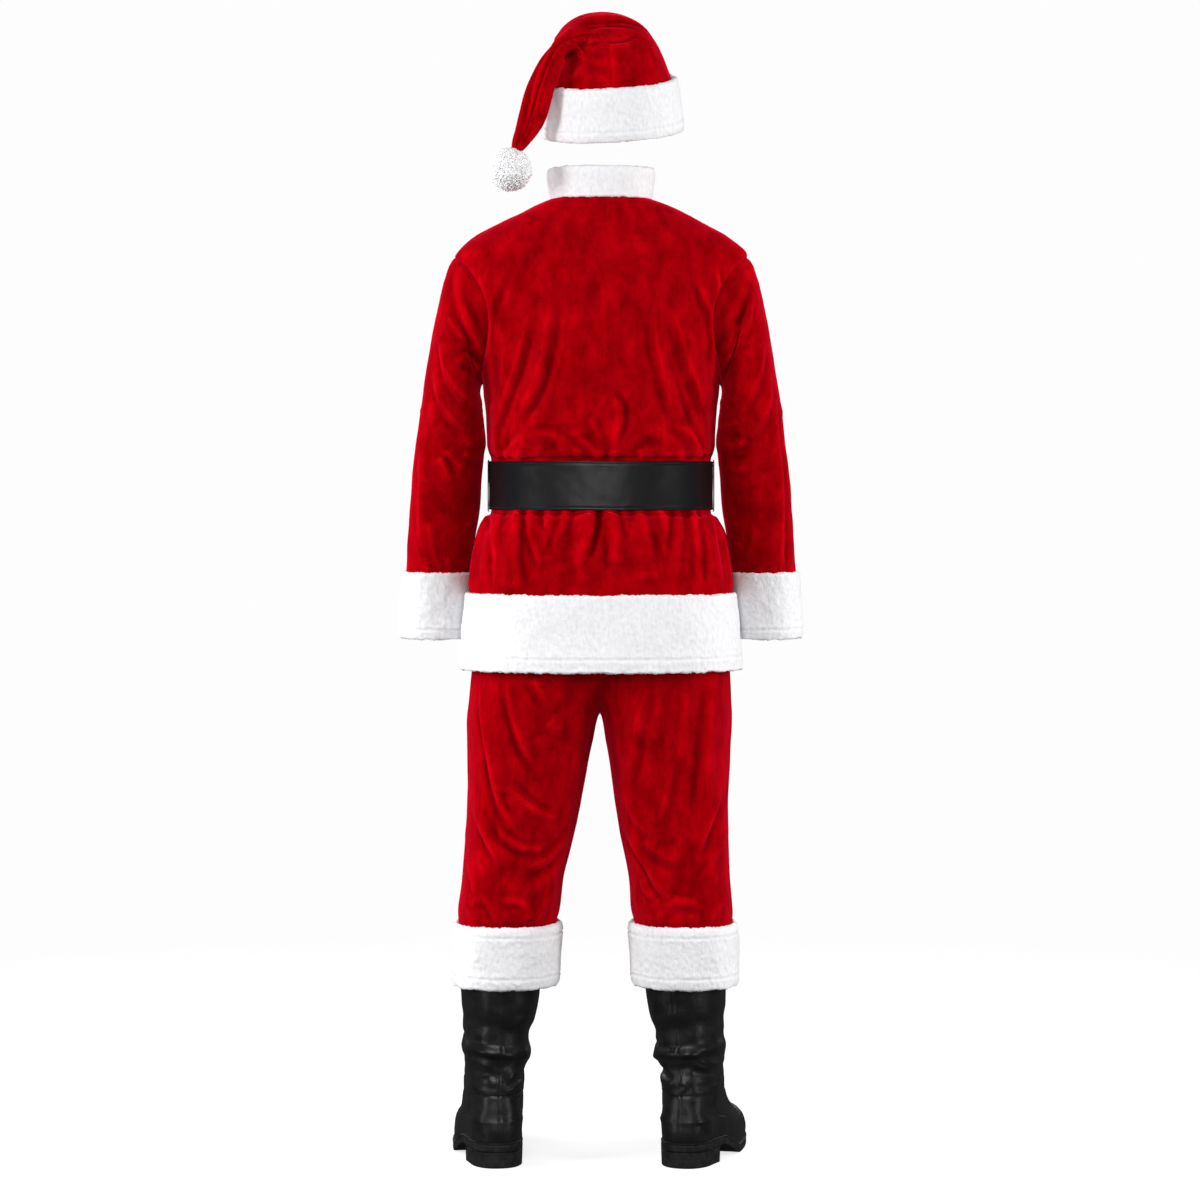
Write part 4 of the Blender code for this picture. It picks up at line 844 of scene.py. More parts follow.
SLEEVE_LEFT_BACK = (
    (7, 2.6, 0.6, (232, -112), (231, -148), (223, -186), (208, -220), (189, -251)),
    (6, 2.2, -0.5, (224, -167), (211, -202), (197, -234), (184, -260)),
    (6, 2, 0.5, (245, -193), (232, -217), (215, -241)),
    (7, 2.4, -0.6, (224, -251), (210, -267), (189, -286)),
    (6, -2, 0, (231, -267), (215, -286), (192, -302)),
    (6, 1.8, 0, (224, -280), (211, -296), (191, -315)),
    (9, 4, 0.8, (258, -228), (250, -270), (236, -304), (216, -331), (186, -354)),
    (9, 3.2, 0.7, (271, -272), (260, -317), (245, -349), (225, -373), (208, -383)),
    (11, 2, 0.5, (276, -328), (270, -363), (259, -393)),
    (8, -4.2, 0, (179, -367), (196, -373), (215, -383)),
    (8, 2.8, -0.5, (186, -386), (205, -394), (221, -401)),
    (7, 2, 0.5, (252, -407), (236, -426), (220, -444)),
    (7, 1.8, -0.5, (260, -417), (251, -441), (242, -467)),
    (6, 1.8, 0.4, (223, -412), (212, -422), (197, -426)),
    (9, 1.8, 0.6, (289, -393), (292, -457), (294, -522), (298, -578)),
    (8, 1.5, 0.4, (280, -522), (273, -562), (264, -599)),
    (5, 1.6, 0, (205, -522), (213, -528), (225, -528)),
    (5, 1.7, 0, (207, -551), (217, -559), (230, -559)),
    (6, 2, 0, (210, -580), (222, -590), (238, -593)),
    (5, -1.5, 0, (207, -538), (217, -543), (226, -544)),
    (5, -1.6, 0, (209, -567), (218, -574), (230, -575)),
    (5, 1.5, 0, (251, -614), (249, -596), (252, -580)),
    (5, -1.4, 0, (235, -614), (233, -599)),
    (5, 1.4, 0, (285, -612), (281, -596)),
    (5, -1.3, 0, (269, -616), (267, -603)),
)
SLEEVE_RIGHT_BACK = (
    (8, 3, -0.8, (-239, -115), (-228, -154), (-213, -194), (-194, -231)),
    (7, 2.6, -0.7, (-244, -141), (-237, -196), (-223, -231), (-205, -264), (-189, -296)),
    (6, 2, 0.5, (-218, -202), (-207, -228), (-191, -254)),
    (8, 2.4, -0.7, (-262, -231), (-255, -276), (-242, -317), (-225, -354)),
    (9, 2.4, -0.6, (-274, -276), (-270, -325), (-254, -367), (-242, -396)),
    (9, 2.6, -0.9, (-279, -320), (-283, -368), (-289, -433), (-293, -506), (-293, -603)),
    (6, 1.7, 0, (-189, -305), (-203, -302), (-220, -292)),
    (6, -1.7, 0, (-187, -317), (-203, -317), (-221, -309)),
    (6, 2, 0, (-187, -330), (-205, -331), (-225, -322)),
    (7, -3, 0, (-182, -347), (-195, -351), (-212, -347)),
    (6, 2.2, 0, (-187, -362), (-203, -367), (-225, -362)),
    (6, -2, 0, (-192, -378), (-208, -386), (-231, -381)),
    (7, 2.4, 0, (-191, -393), (-212, -402), (-237, -394)),
    (6, -1.6, 0, (-197, -417), (-216, -423), (-241, -417)),
    (7, 1.7, 0, (-199, -434), (-218, -441), (-237, -434)),
    (10, 1.3, 0, (-267, -441), (-260, -473), (-255, -506)),
    (9, 1.4, 0.4, (-252, -535), (-247, -567), (-241, -599)),
    (5, 1.6, 0, (-204, -522), (-213, -528), (-226, -527)),
    (5, 1.7, 0, (-207, -554), (-218, -562), (-234, -561)),
    (6, -1.6, 0, (-207, -539), (-218, -544), (-231, -544)),
    (6, 1.9, 0, (-210, -583), (-223, -593), (-241, -596)),
    (5, -1.5, 0, (-209, -570), (-220, -577), (-234, -578)),
    (5, 1.4, 0, (-260, -614), (-259, -596)),
    (5, -1.3, 0, (-244, -616), (-244, -603)),
    (5, 1.4, 0, (-281, -612), (-280, -596)),
)
LEG_LEFT_BACK = (
    (9, 3.6, 0.8, (194, -765), (191, -818), (183, -877), (172, -943), (155, -989), (130, -1031)),
    (9, 3.1, 0.7, (154, -765), (143, -821), (130, -864), (115, -901), (93, -938)),
    (10, 2.5, 0.6, (111, -771), (93, -800), (75, -829)),
    (11, 1.6, 0.4, (88, -845), (74, -854), (56, -854)),
    (9, 2.9, -0.7, (151, -946), (133, -964), (112, -983), (88, -996), (66, -997)),
    (8, -1.8, 0, (157, -954), (152, -978), (136, -999)),
    (9, 2.7, 0.8, (208, -980), (197, -1010), (181, -1038), (167, -1063), (162, -1086)),
    (9, -3.4, 0, (181, -999), (168, -1028), (149, -1047), (123, -1062), (96, -1058)),
    (8, 2.6, -0.4, (165, -1018), (151, -1034), (130, -1047), (104, -1050), (93, -1052)),
    (10, -4.6, 0, (56, -1044), (74, -1070), (93, -1086), (114, -1097), (128, -1115)),
    (9, 2.7, 0.7, (46, -1012), (61, -1038), (80, -1060), (101, -1075), (120, -1084)),
    (9, 2, 0, (66, -1086), (85, -1099), (101, -1112), (112, -1131)),
    (8, 1.4, 0, (197, -1050), (194, -1079), (184, -1102)),
    (7, 2.4, 0.4, (218, -1079), (210, -1102), (205, -1128)),
    (8, -1, 0, (213, -1131), (201, -1134), (189, -1129)),
    (8, 2, 0.3, (213, -1150), (205, -1136), (188, -1134), (173, -1149), (169, -1166)),
    (7, -1.2, 0, (197, -1163), (191, -1150), (181, -1160)),
    (8, 1.7, 0, (162, -1139), (143, -1133), (124, -1141), (114, -1157)),
    (7, -1, 0, (152, -1152), (140, -1145), (128, -1153)),
    (8, 1.5, 0, (104, -1166), (98, -1150), (84, -1137), (72, -1131)),
    (7, -1.2, 0, (88, -1166), (80, -1153), (69, -1144)),
    (6, 1, 0, (156, -1171), (154, -1158)),
    (6, -0.9, 0, (140, -1173), (140, -1160)),
    (6, 1, 0, (124, -1173), (122, -1160)),
    (6, 0.9, 0, (215, -1163), (217, -1149)),
    (12, 1, 0, (106, -866), (90, -890), (66, -906)),
    (14, 1, 0, (165, -1099), (146, -1112), (127, -1118)),
)
LEG_RIGHT_BACK = (
    (10, 2.9, -0.6, (-74, -787), (-64, -826), (-56, -874), (-48, -922), (-43, -965)),
    (12, -2.4, 0, (-107, -790), (-98, -850), (-86, -909), (-79, -954)),
    (10, 2.2, -0.5, (-115, -909), (-107, -951), (-98, -988), (-87, -1015)),
    (10, -2.8, 0, (-162, -787), (-155, -866), (-149, -946), (-143, -1005)),
    (11, 2.2, 0.4, (-176, -793), (-173, -866), (-167, -938), (-162, -1002)),
    (9, 1.3, 0, (-135, -793), (-130, -858), (-125, -914)),
    (10, 2.3, 0.5, (-35, -959), (-48, -991), (-67, -1015), (-87, -1028)),
    (9, -3.2, 0, (-32, -1022), (-46, -1050), (-66, -1079), (-88, -1105)),
    (8, 3.2, 0.6, (-43, -1034), (-59, -1063), (-82, -1094), (-100, -1120), (-112, -1133)),
    (10, 2.5, 0.5, (-69, -1031), (-90, -1054), (-112, -1067), (-133, -1068)),
    (9, -1.7, 0, (-88, -1039), (-107, -1042), (-127, -1038)),
    (11, -4.4, 0, (-208, -962), (-194, -999), (-176, -1038), (-159, -1070)),
    (9, 2.9, -0.7, (-196, -954), (-184, -991), (-170, -1028), (-152, -1057)),
    (9, 1.4, 0, (-212, -1022), (-197, -1047), (-180, -1070)),
    (7, 2.2, 0.4, (-63, -1099), (-72, -1120), (-87, -1134)),
    (8, -1.5, 0, (-107, -1115), (-133, -1126), (-159, -1120)),
    (9, 1.7, 0, (-101, -1147), (-120, -1136), (-146, -1139), (-169, -1150)),
    (7, -1, 0, (-114, -1158), (-133, -1149), (-154, -1155)),
    (8, 1.2, 0, (-53, -1141), (-67, -1149), (-79, -1165)),
    (7, -1, 0, (-56, -1160), (-64, -1168)),
    (8, 1.2, 0, (-178, -1165), (-188, -1147), (-205, -1137)),
    (7, -1, 0, (-194, -1165), (-202, -1152)),
    (6, 1, 0, (-93, -1171), (-95, -1158)),
    (6, -0.9, 0, (-108, -1173), (-107, -1160)),
    (6, 1, 0, (-143, -1171), (-143, -1160)),
    (6, -0.9, 0, (-162, -1171), (-162, -1158)),
    (13, 1, 0, (-62, -842), (-79, -866), (-98, -877)),
    (12, 1, 0, (-159, -1086), (-178, -1099), (-194, -1105)),
)
HAT_FOLDS = (
    (6, 3.2, 0.9, (37, 272), (18, 280), (-5, 283), (-34, 282), (-63, 274), (-89, 261)),
    (5, -3.2, 0, (31, 262), (8, 268), (-14, 271), (-43, 268), (-72, 260)),
    (4, -3, 0, (27, 249), (14, 251), (2, 257)),
    (4, 1.8, 0.5, (21, 241), (6, 244), (-3, 252)),
    (4, -2.8, 0, (-8, 243), (-22, 241), (-43, 246), (-63, 256)),
    (5, 1.8, -0.4, (-11, 233), (-30, 233), (-53, 240)),
    (8, 1.8, 0, (43, 232), (27, 216), (2, 206), (-30, 206)),
    (9, 1.3, 0, (50, 198), (18, 185), (-22, 182), (-62, 188)),
    (8, 1.2, 0.3, (-79, 240), (-91, 219), (-101, 194)),
    (7, 1.4, 0, (56, 180), (34, 192), (18, 205)),
    (6, 2.8, 0.6, (42, 274), (66, 249), (83, 217), (98, 182), (107, 142), (112, 110)),
    (6, -2.5, 0, (56, 244), (72, 216), (85, 181), (96, 149), (105, 111)),
    (5, 1.8, -0.5, (117, 163), (123, 131), (131, 99), (136, 71)),
    (4, -1.4, 0, (109, 131), (114, 99), (125, 71)),
    (4, 1.4, 0, (96, 122), (110, 94), (127, 68)),
)
BOOT_FOLDS_LEFT = (
    (7, 3.2, 0.5, (221, -1392), (213, -1385), (202, -1382), (182, -1387), (164, -1403)),
    (6, -3.4, 0, (220, -1410), (200, -1418), (176, -1421), (161, -1428)),
    (7, 3, -0.4, (216, -1434), (200, -1448), (176, -1454), (161, -1452)),
    (5, -2.6, 0, (158, -1410), (142, -1397), (124, -1384)),
    (8, 3.2, 0.4, (156, -1430), (140, -1421), (122, -1410), (112, -1397)),
    (4, -2.8, 0, (155, -1444), (140, -1434), (124, -1426)),
    (4, 2.4, 0.5, (155, -1454), (142, -1444), (127, -1433)),
    (4, -2.2, 0, (145, -1457), (133, -1452), (120, -1444)),
    (9, 1.8, 0, (216, -1335), (213, -1361), (203, -1377)),
    (10, 1.6, 0, (128, -1322), (132, -1351), (120, -1377)),
    (4, 1.6, 0.3, (213, -1400), (194, -1402), (174, -1413)),
    (3, -1.4, 0, (207, -1456), (190, -1461), (174, -1461)),
)
BOOT_FOLDS_RIGHT = (
    (7, 3.2, -0.5, (-120, -1400), (-140, -1387), (-164, -1397), (-187, -1407), (-200, -1407)),
    (6, -3.4, 0, (-124, -1415), (-143, -1408), (-166, -1420), (-194, -1423)),
    (6, 2.8, 0.5, (-86, -1389), (-99, -1408), (-119, -1420)),
    (5, -3.2, 0, (-91, -1413), (-104, -1423), (-119, -1426)),
    (6, 2.6, 0.3, (-94, -1434), (-109, -1438), (-120, -1434)),
    (4, -2.4, 0, (-94, -1449), (-109, -1454), (-120, -1452)),
    (4, 2.8, 0.4, (-124, -1430), (-138, -1438), (-130, -1448), (-124, -1452)),
    (4, -2.6, 0, (-145, -1433), (-138, -1449), (-127, -1459)),
    (7, 3.2, -0.5, (-145, -1446), (-166, -1452), (-189, -1443), (-200, -1426)),
    (4, -2.4, 0, (-161, -1461), (-184, -1457), (-203, -1446)),
    (9, 1.8, 0, (-89, -1325), (-88, -1354), (-91, -1377)),
    (10, 1.6, 0, (-187, -1328), (-184, -1358), (-190, -1384)),
    (4, 1.6, -0.3, (-145, -1400), (-164, -1410), (-184, -1416)),
)

# %% [markdown]
# ### The jacket's body
# One back and two fronts, seamed at the sides, as a real jacket is cut. The panels run up to the armholes
# and the neck. The folds of the fronts are those of the back turned round, held flat where the fur band is
# sewn on.

# %% Jacket panels
BELT_LOW, BELT_HIGH = -0.5060, -0.4270
BACK_COLUMNS, FRONT_COLUMNS = 151, 78
SIDE_SEAM_SUNK, SIDE_SEAM_HALF = 0.0009, 0.0035
SHOULDER_CORNER, UNDERARM_NEARER = (0.2395, 0.0, -0.085), 0.0024
armhole_line = jacket(*armhole_place(np.linspace(0, 360, 400)))
side_line = jacket(np.full(200, 90.0), np.linspace(ROW_BAND, ROW_UNDERARM, 200))


def belt_frees(height):
    """0 under the belt, where it presses the cloth flat, and 1 away from it."""
    return np.maximum(ease((height - BELT_HIGH + 0.005) / 0.009), ease((BELT_LOW + 0.005 - height) / 0.009))


def jacket_lift(points, out, back):
    """How far the jacket's cloth stands off its form."""
    facing, sideways, gain = (1, 1, 1.0) if back else (-1, -1, 0.85)
    lift = rumple(points, (0.085, 0.0036), (0.034, 0.0018), (0.010, 0.0003))
    lift += press_folds(points, out, BACK_FOLDS, facing, sideways, gain=gain, held=(BELT_HIGH,))
    lift += press_folds(points, out, SKIRT_FOLDS, facing, sideways, gain=gain, held=(BELT_LOW,))
    height = points[..., 2]
    above_band = ease((height - JACKET[ROW_BAND][0]) / 0.03)
    lift *= belt_frees(height) * (0.3 + 0.7 * above_band) * ease(-height / 0.02)
    lift *= 1 - 0.7 * ease((np.abs(out[..., 0]) - 0.8) / 0.2)
    if not back:
        lift *= ease((np.abs(points[..., 0]) - FRONT_BAND_HALF + 0.004) / 0.022)
    mirror_arm = armhole_line * (-1, 1, 1)
    lift = beside_seam(distance_to(points, np.concatenate((armhole_line, mirror_arm))), lift)
    sides = np.concatenate((side_line, side_line * (-1, 1, 1)))
    return lift - SIDE_SEAM_SUNK * bell(distance_to(points, sides), SIDE_SEAM_HALF) * belt_frees(height)


def eased_shoulder(points):
    """The cloth of the shoulder point sinks a little, since nothing stiff is sewn in under it."""
    corner = np.array(SHOULDER_CORNER)
    side = np.sign(points[..., 0])
    apart = np.stack((np.abs(points[..., 0]), points[..., 1], points[..., 2]), -1) - corner
    near = np.exp(-((apart**2).sum(axis=-1) / 0.030**2))
    return points + np.stack((-0.004 * side * near, 0 * near, -0.007 * near), -1)


def underarm_fullness(points, reach):
    """Above the belt a sleeve's inner side and the jacket's side come nearer by reach, but stay clear."""
    x, y, z = np.moveaxis(points, -1, 0)
    height = ease((-0.300 - z) / 0.030) * ease((z + 0.416) / 0.018)
    near = height * bell(y, 0.055) * np.clip((0.228 - np.abs(x)) / 0.020, 0, 1)
    return points + np.stack((reach * near * np.sign(x), 0 * near, 0 * near), -1)


jacket_rows = even_rows(jacket, ROW_BAND, ROW_NECK, CLOTH_GAP, 0, 80)
edge = armhole_edge(jacket_rows)[:, None]
back_turns = (90 - edge) * np.linspace(-1, 1, BACK_COLUMNS)
front_turns = 90 + edge + (90 - edge) * np.linspace(0, 1, FRONT_COLUMNS)
jacket_turns = {"back": back_turns, "front_left": front_turns, "front_right": 360 - front_turns[:, ::-1]}
for panel, turns in jacket_turns.items():
    rows = np.broadcast_to(jacket_rows[:, None], turns.shape)
    points, out = jacket(turns, rows), way_out(jacket, turns, rows)
    points = eased_shoulder(points + out * jacket_lift(points, out, panel == "back")[..., None])
    points = underarm_fullness(points, UNDERARM_NEARER)
    stands_for(make_piece(f"jacket_{panel}_cloth", points, velour), "red_velour", f"jacket_{panel}")

# %% [markdown]
# ### The sleeves
# Each sleeve is one tube set into its armhole. The seam line stays exactly on the armhole, and the cloth on
# both sides of it swells a little, which is what makes a sewn seam read as a soft valley.

# %% Sleeves
CUFF_SEAM, SLEEVE_COLUMNS = SLEEVE[ROW_SLEEVE_CUFF][1], 146
sleeve_rows = even_rows(sleeve, 0, ROW_SLEEVE_CUFF, CLOTH_GAP, 0, 180)
sleeve_turns, rows = np.broadcast_arrays(np.arange(0, 360, 360 / SLEEVE_COLUMNS), sleeve_rows[:, None])
left_points, left_out = sleeve(sleeve_turns, rows), way_out(sleeve, sleeve_turns, rows)
left_points[0] = jacket(*armhole_place(sleeve_turns[0]))
FOLDS_BEHIND = {"left": SLEEVE_LEFT_BACK, "right": SLEEVE_RIGHT_BACK}
for side, other in (("left", "right"), ("right", "left")):
    to_body = -1 if side == "left" else 1
    points, out = (left_points, left_out) if side == "left" else (mirrored(left_points), mirrored(left_out))
    lift = rumple(points, (0.075, 0.0030), (0.032, 0.0016), (0.010, 0.0003))
    lift += press_folds(points, out, FOLDS_BEHIND[side], 1, 1, held=(CUFF_SEAM,))
    lift += press_folds(points, out, FOLDS_BEHIND[other], -1, -1, gain=0.85, held=(CUFF_SEAM,))
    inner_side = ease(out[..., 0] * to_body * 1.4 - 0.35)
    outer_side = ease(-out[..., 0] * to_body * 2.5 - 1.5)
    lift *= 1 - 0.85 * inner_side - 0.45 * outer_side
    lift *= 0.45 + 0.55 * ease((points[..., 2] - CUFF_SEAM) / 0.03)
    line = armhole_line if side == "left" else armhole_line * (-1, 1, 1)
    head = ease((points[..., 2] + 0.19) / 0.09)
    lift = beside_seam(distance_to(points, line), lift, swell=0.0013 + 0.0015 * head)
    points = underarm_fullness(eased_shoulder(points + out * lift[..., None]), -UNDERARM_NEARER)
    piece = make_piece(f"sleeve_{side}_cloth", points, velour, around=True)
    stands_for(piece, "red_velour", f"sleeve_{side}")

# %% [markdown]
# ### The trousers
# A back and a front for each leg, seamed down the outside, down the inside and through the crotch. Only
# what hangs below the jacket is seen, so the rows are fine there and coarse above.

# %% Trousers
LEG_END = LEG[ROW_LEG_END][0] + 0.022
LEG_FOLDS_RUN_TO, LEG_COLUMNS = (LEG_END, -1.17), 101
LEG_FOLDS_BEHIND = {"left": LEG_LEFT_BACK, "right": LEG_RIGHT_BACK}
leg_rows = np.concatenate((
    even_rows(leg, ROW_WAISTBAND, ROW_SEAT, 0.010, 0)[:-1],
    even_rows(leg, ROW_SEAT, ROW_LEG_END, CLOTH_GAP, 0, 180),
))
seam_rows = np.linspace(ROW_WAISTBAND, ROW_LEG_END, 400)
leg_seams = np.concatenate((leg(np.full(400, 0.0), seam_rows), leg(np.full(400, 180.0), seam_rows)))
for side, other in (("left", "right"), ("right", "left")):
    for panel, facing in (("back", 1), ("front", -1)):
        turns = np.linspace(0, 180, LEG_COLUMNS) if panel == "back" else np.linspace(-180, 0, LEG_COLUMNS)
        turns, rows = np.broadcast_arrays(turns, leg_rows[:, None])
        points, out = leg(turns, rows), way_out(leg, turns, rows)
        seams = leg_seams
        if side == "right":
            points, out = mirrored(points, like_leg=True), mirrored(out)
            seams = mirrored(leg_seams[None], like_leg=True)[0]
        lift = rumple(points, (0.09, 0.0042), (0.038, 0.0020), (0.011, 0.0003))
        if panel == "back":
            lift += press_folds(points, out, LEG_FOLDS_BEHIND[side], 1, 1, held=LEG_FOLDS_RUN_TO)
        else:
            folds, shift = LEG_FOLDS_BEHIND[other], 2 * LEG_SHIFT
            lift += press_folds(points, out, folds, -1, -1, shift, 0.85, held=LEG_FOLDS_RUN_TO)
        lift *= ease((-0.60 - points[..., 2]) / 0.1) * (0.25 + 0.75 * ease((points[..., 2] - LEG_END) / 0.02))
        lift *= 1 - 0.55 * ease((np.abs(out[..., 0]) - 0.6) / 0.35)
        lift = beside_seam(distance_to(points, seams), lift, swell=0.0018, calm=0.013)
        # Where the legs part, the cloth is drawn up into the crotch seam and stands off the other leg.
        apart = np.abs(points[..., 0] - leg_shift(points[..., 2]))
        lift = np.where(apart < 0.030, np.minimum(lift, lift * ease(apart / 0.03)), lift)
        lift -= 0.0030 * (1 - ease(apart / 0.012)) * ease((-0.835 - points[..., 2]) / 0.008)
        points = points + out * lift[..., None]
        node_name = f"trousers_{panel}_{side}"
        stands_for(make_piece(f"{node_name}_cloth", points, velour), "red_velour", node_name)

# %% [markdown]
# ### The waistband
# A wide elastic in a velour casing holds the trousers up. It is sewn shorter than the cloth round it, so
# the casing draws up into nearly a hundred small gathers, and two rows of stitches hold it flat at its
# edges. The belt hides it.

# %% Waistband
CASING_OUT, CASING_WALL, GATHERS = 0.0026, 0.0026, 96
casing_turns = np.arange(0, 360, 0.75)
waist = jacket(casing_turns, np.full_like(casing_turns, ROW_BELT))
waist_out = unit(way_out(jacket, casing_turns, np.full_like(casing_turns, ROW_BELT)) * (1, 1, 0))
casing_top, casing_low = row_of(LEG, np.array((0.0, ROW_WAISTBAND)))[0]
drop = np.linspace(0, 1, 17)
between_stitches = np.sin(np.pi * np.clip((drop - 0.12) / 0.76, 0, 1))
wander = rumple(waist, (0.03, 2.5))
gathered = 0.0007 * np.sin(np.radians(casing_turns * GATHERS) + wander) * between_stitches[:, None]
stitched = 0.0005 * bell(np.abs(drop - 0.5) - 0.38, 0.04)[:, None]
wall = np.concatenate((gathered - stitched, gathered[::-1] - CASING_WALL + stitched[::-1])) - CASING_OUT
grid = waist + waist_out * wall[..., None]
grid[..., 2] = (casing_top + (casing_low - casing_top) * np.concatenate((drop, drop[::-1])))[:, None]
piece = make_piece("waistband_cloth", grid, velour, around=True, along=True)
stands_for(piece, "red_velour", "waistband")

# %% [markdown]
# ### The hat's cone
# Two halves seamed up the back and the front. The cone is longer than the head is high, so it folds over at
# the top and its tail falls behind the left ear. Tucks gather under the fold where the cloth has nowhere
# else to go.

# %% Hat
HAT_COLUMNS = 85
hat_rows = even_rows(hat, 0, len(HAT_IN_BAND) + len(HAT) - 1, 0.0030, 0, 90)
seam_rows = np.linspace(0, hat_rows[-1], 400)
hat_seams = np.concatenate([hat(np.full(400, turn), seam_rows) for turn in (90.0, 270.0)])
for side, start in (("right", -90), ("left", 90)):
    turns, rows = np.broadcast_arrays(start + np.linspace(0, 180, HAT_COLUMNS), hat_rows[:, None])
    points, out = hat(turns, rows), way_out(hat, turns, rows)
    slim = ease((len(HAT) - rows) / 6)
    lift = rumple(points, (0.06, 0.0022), (0.022, 0.0009), (0.009, 0.0003)) * (0.35 + 0.65 * slim)
    lift += press_folds(points, out, HAT_FOLDS, 1, 1, gain=0.8)
    lift += press_folds(points, out, HAT_FOLDS, -1, 1, shift=-0.004, gain=0.55)
    lift *= ease((rows - 0.4) / 1.2) * (1 - 0.6 * ease((np.hypot(out[..., 0], out[..., 2]) - 0.75) / 0.25))
    gap = distance_to(points, hat_seams)
    lift = beside_seam(gap, lift, swell=0.0007, calm=0.006) - 0.0006 * bell(gap, 0.0025)
    points = points + out * lift[..., None]
    stands_for(make_piece(f"hat_crown_{side}_cloth", points, velour), "red_velour", f"hat_crown_{side}")

# %% [markdown]
# ## The white plush trim
# The trim is a strip of long-pile plush folded round the raw edge, so every band has a rounded rim. On the
# cuffs, the hem and the hat it is stitched through, which leaves a sunken line beside a rim. It is thick,
# so it is made as a closed solid: a rounded section carried round the body. Real pile is thousands of
# hairs. Here its clumps are lifted out of the surface at three sizes and a hair-sized jitter breaks the
# outline, which from a few steps away looks alike.

# %% Plush bands
PLUSH_GAP = 0.0025
STITCH_LINE_HALF, BULGE_HALF, RIM_HALF = 0.0017, 0.008, 0.0022
chance = np.random.default_rng(5)


def band(form, start, end, turns, inner, thick, creases=(), lap=0.0, ends=0.0, press=None):
    """A band's closed surface, [round its section][turn]: down the outside, round the rim and up the inside.
    inner is how far its inside stands off the form, and lap how far its top edge passes over the cloth.
    creases are (distance down from the top edge, depth) of its stitch lines. ends rounds a strip's two ends
    over this distance. press says how thick the band is left, as a share, at each point of the form."""
    rows = np.linspace(start, end, 200)
    lines = [form(np.full(200, turn), rows) for turn in np.linspace(turns[0], turns[-1], 5)]
    steps = np.mean([np.linalg.norm(np.diff(line, axis=0), axis=1) for line in lines], axis=0)
    run = np.concatenate(((0,), np.cumsum(steps)))
    length, rim = run[-1] + lap, thick / 2
    corner = rim * (1 - np.cos(np.radians((25, 48, 68))))
    flat = np.linspace(rim, length - rim, max(round((length - thick) / PLUSH_GAP), 3))
    lining = np.linspace(length - rim, rim, max(round(length / 0.010), 3))
    outside = np.concatenate((corner, flat, length - corner[::-1]))
    inside = np.concatenate(((length - rim * 0.3,), lining, (rim * 0.3,)))
    down = np.concatenate(((0,), outside, (length,), inside))
    side = np.concatenate(((0,), np.ones(len(outside)), (0,), -np.ones(len(inside))))
    past = np.maximum(rim - np.minimum(down, length - down), 0) / rim
    half = rim * np.sqrt(1 - past**2) * side
    for place, depth in creases:
        gap = down - place
        sunk = bell(gap, STITCH_LINE_HALF) - 0.4 * bell(gap, BULGE_HALF)
        half -= np.where(side > 0, depth * sunk, 0)

    turns, at = np.broadcast_arrays(turns, np.interp(down - lap, run, rows)[:, None])
    points, out = form(turns, at), way_out(form, turns, at)
    beyond = start + 0.02 * np.sign(end - start)
    edge = unit(form(turns, np.full_like(at, start)) - form(turns, np.full_like(at, beyond)))
    left = np.ones_like(at) if press is None else press(points)
    slim = np.ones(turns.shape[1])
    if ends:
        length_along = run_along(points[5])
        near = np.minimum(length_along, length_along[-1] - length_along)
        slim = np.sqrt(1 - 0.98 * np.clip(1 - near / ends, 0, 1) ** 2)
    points = points + edge * np.maximum(lap - down, 0)[:, None, None]
    made = points + out * (inner + (rim + half[:, None] * slim) * left)[..., None]

    pile = np.where(side < 0, 0.35, 1.0)[:, None] * np.clip(left * 1.4 - 0.4, 0, 1)
    clumps = rumple(made, (0.040, 0.0016), (0.011, 0.0006), (0.0052, 0.0009))
    clumps += chance.uniform(-0.0003, 0.0004, at.shape)
    # Single tips of pile stick out past the rims, which leaves no clean outline.
    rims = bell(np.minimum(down, length - down), RIM_HALF)[:, None]
    ragged = rumple(made + 3, (0.013, 0.0016)) + chance.uniform(-0.0013, 0.0013, at.shape) * rims
    return made + out * (clumps * pile)[..., None] + edge * (ragged * pile)[..., None]


# %% [markdown]
# ### Cuffs and the hat's band
# These are rings. A sleeve cuff hangs on the end of its sleeve, and has its stitch line above its lower
# rim. A leg cuff is turned up over the leg and the hat's band over the cone, so both have a rim and a
# stitch line at each edge.

# %% Cuffs and hat band
PRESSED_AT_Y, PRESSED_WIDTH, PRESSED_BY = -0.046, 0.035, 0.38


def pressed_together(points):
    """How thick the plush is left where a sleeve cuff lies against the hem's side, as a share."""
    across, y = np.abs(points[..., 0]), points[..., 1]
    facing = np.clip((0.245 - across) / 0.020, 0, 1) * np.clip((across - 0.170) / 0.020, 0, 1)
    return 1 - PRESSED_BY * facing * bell(y - PRESSED_AT_Y, PRESSED_WIDTH)


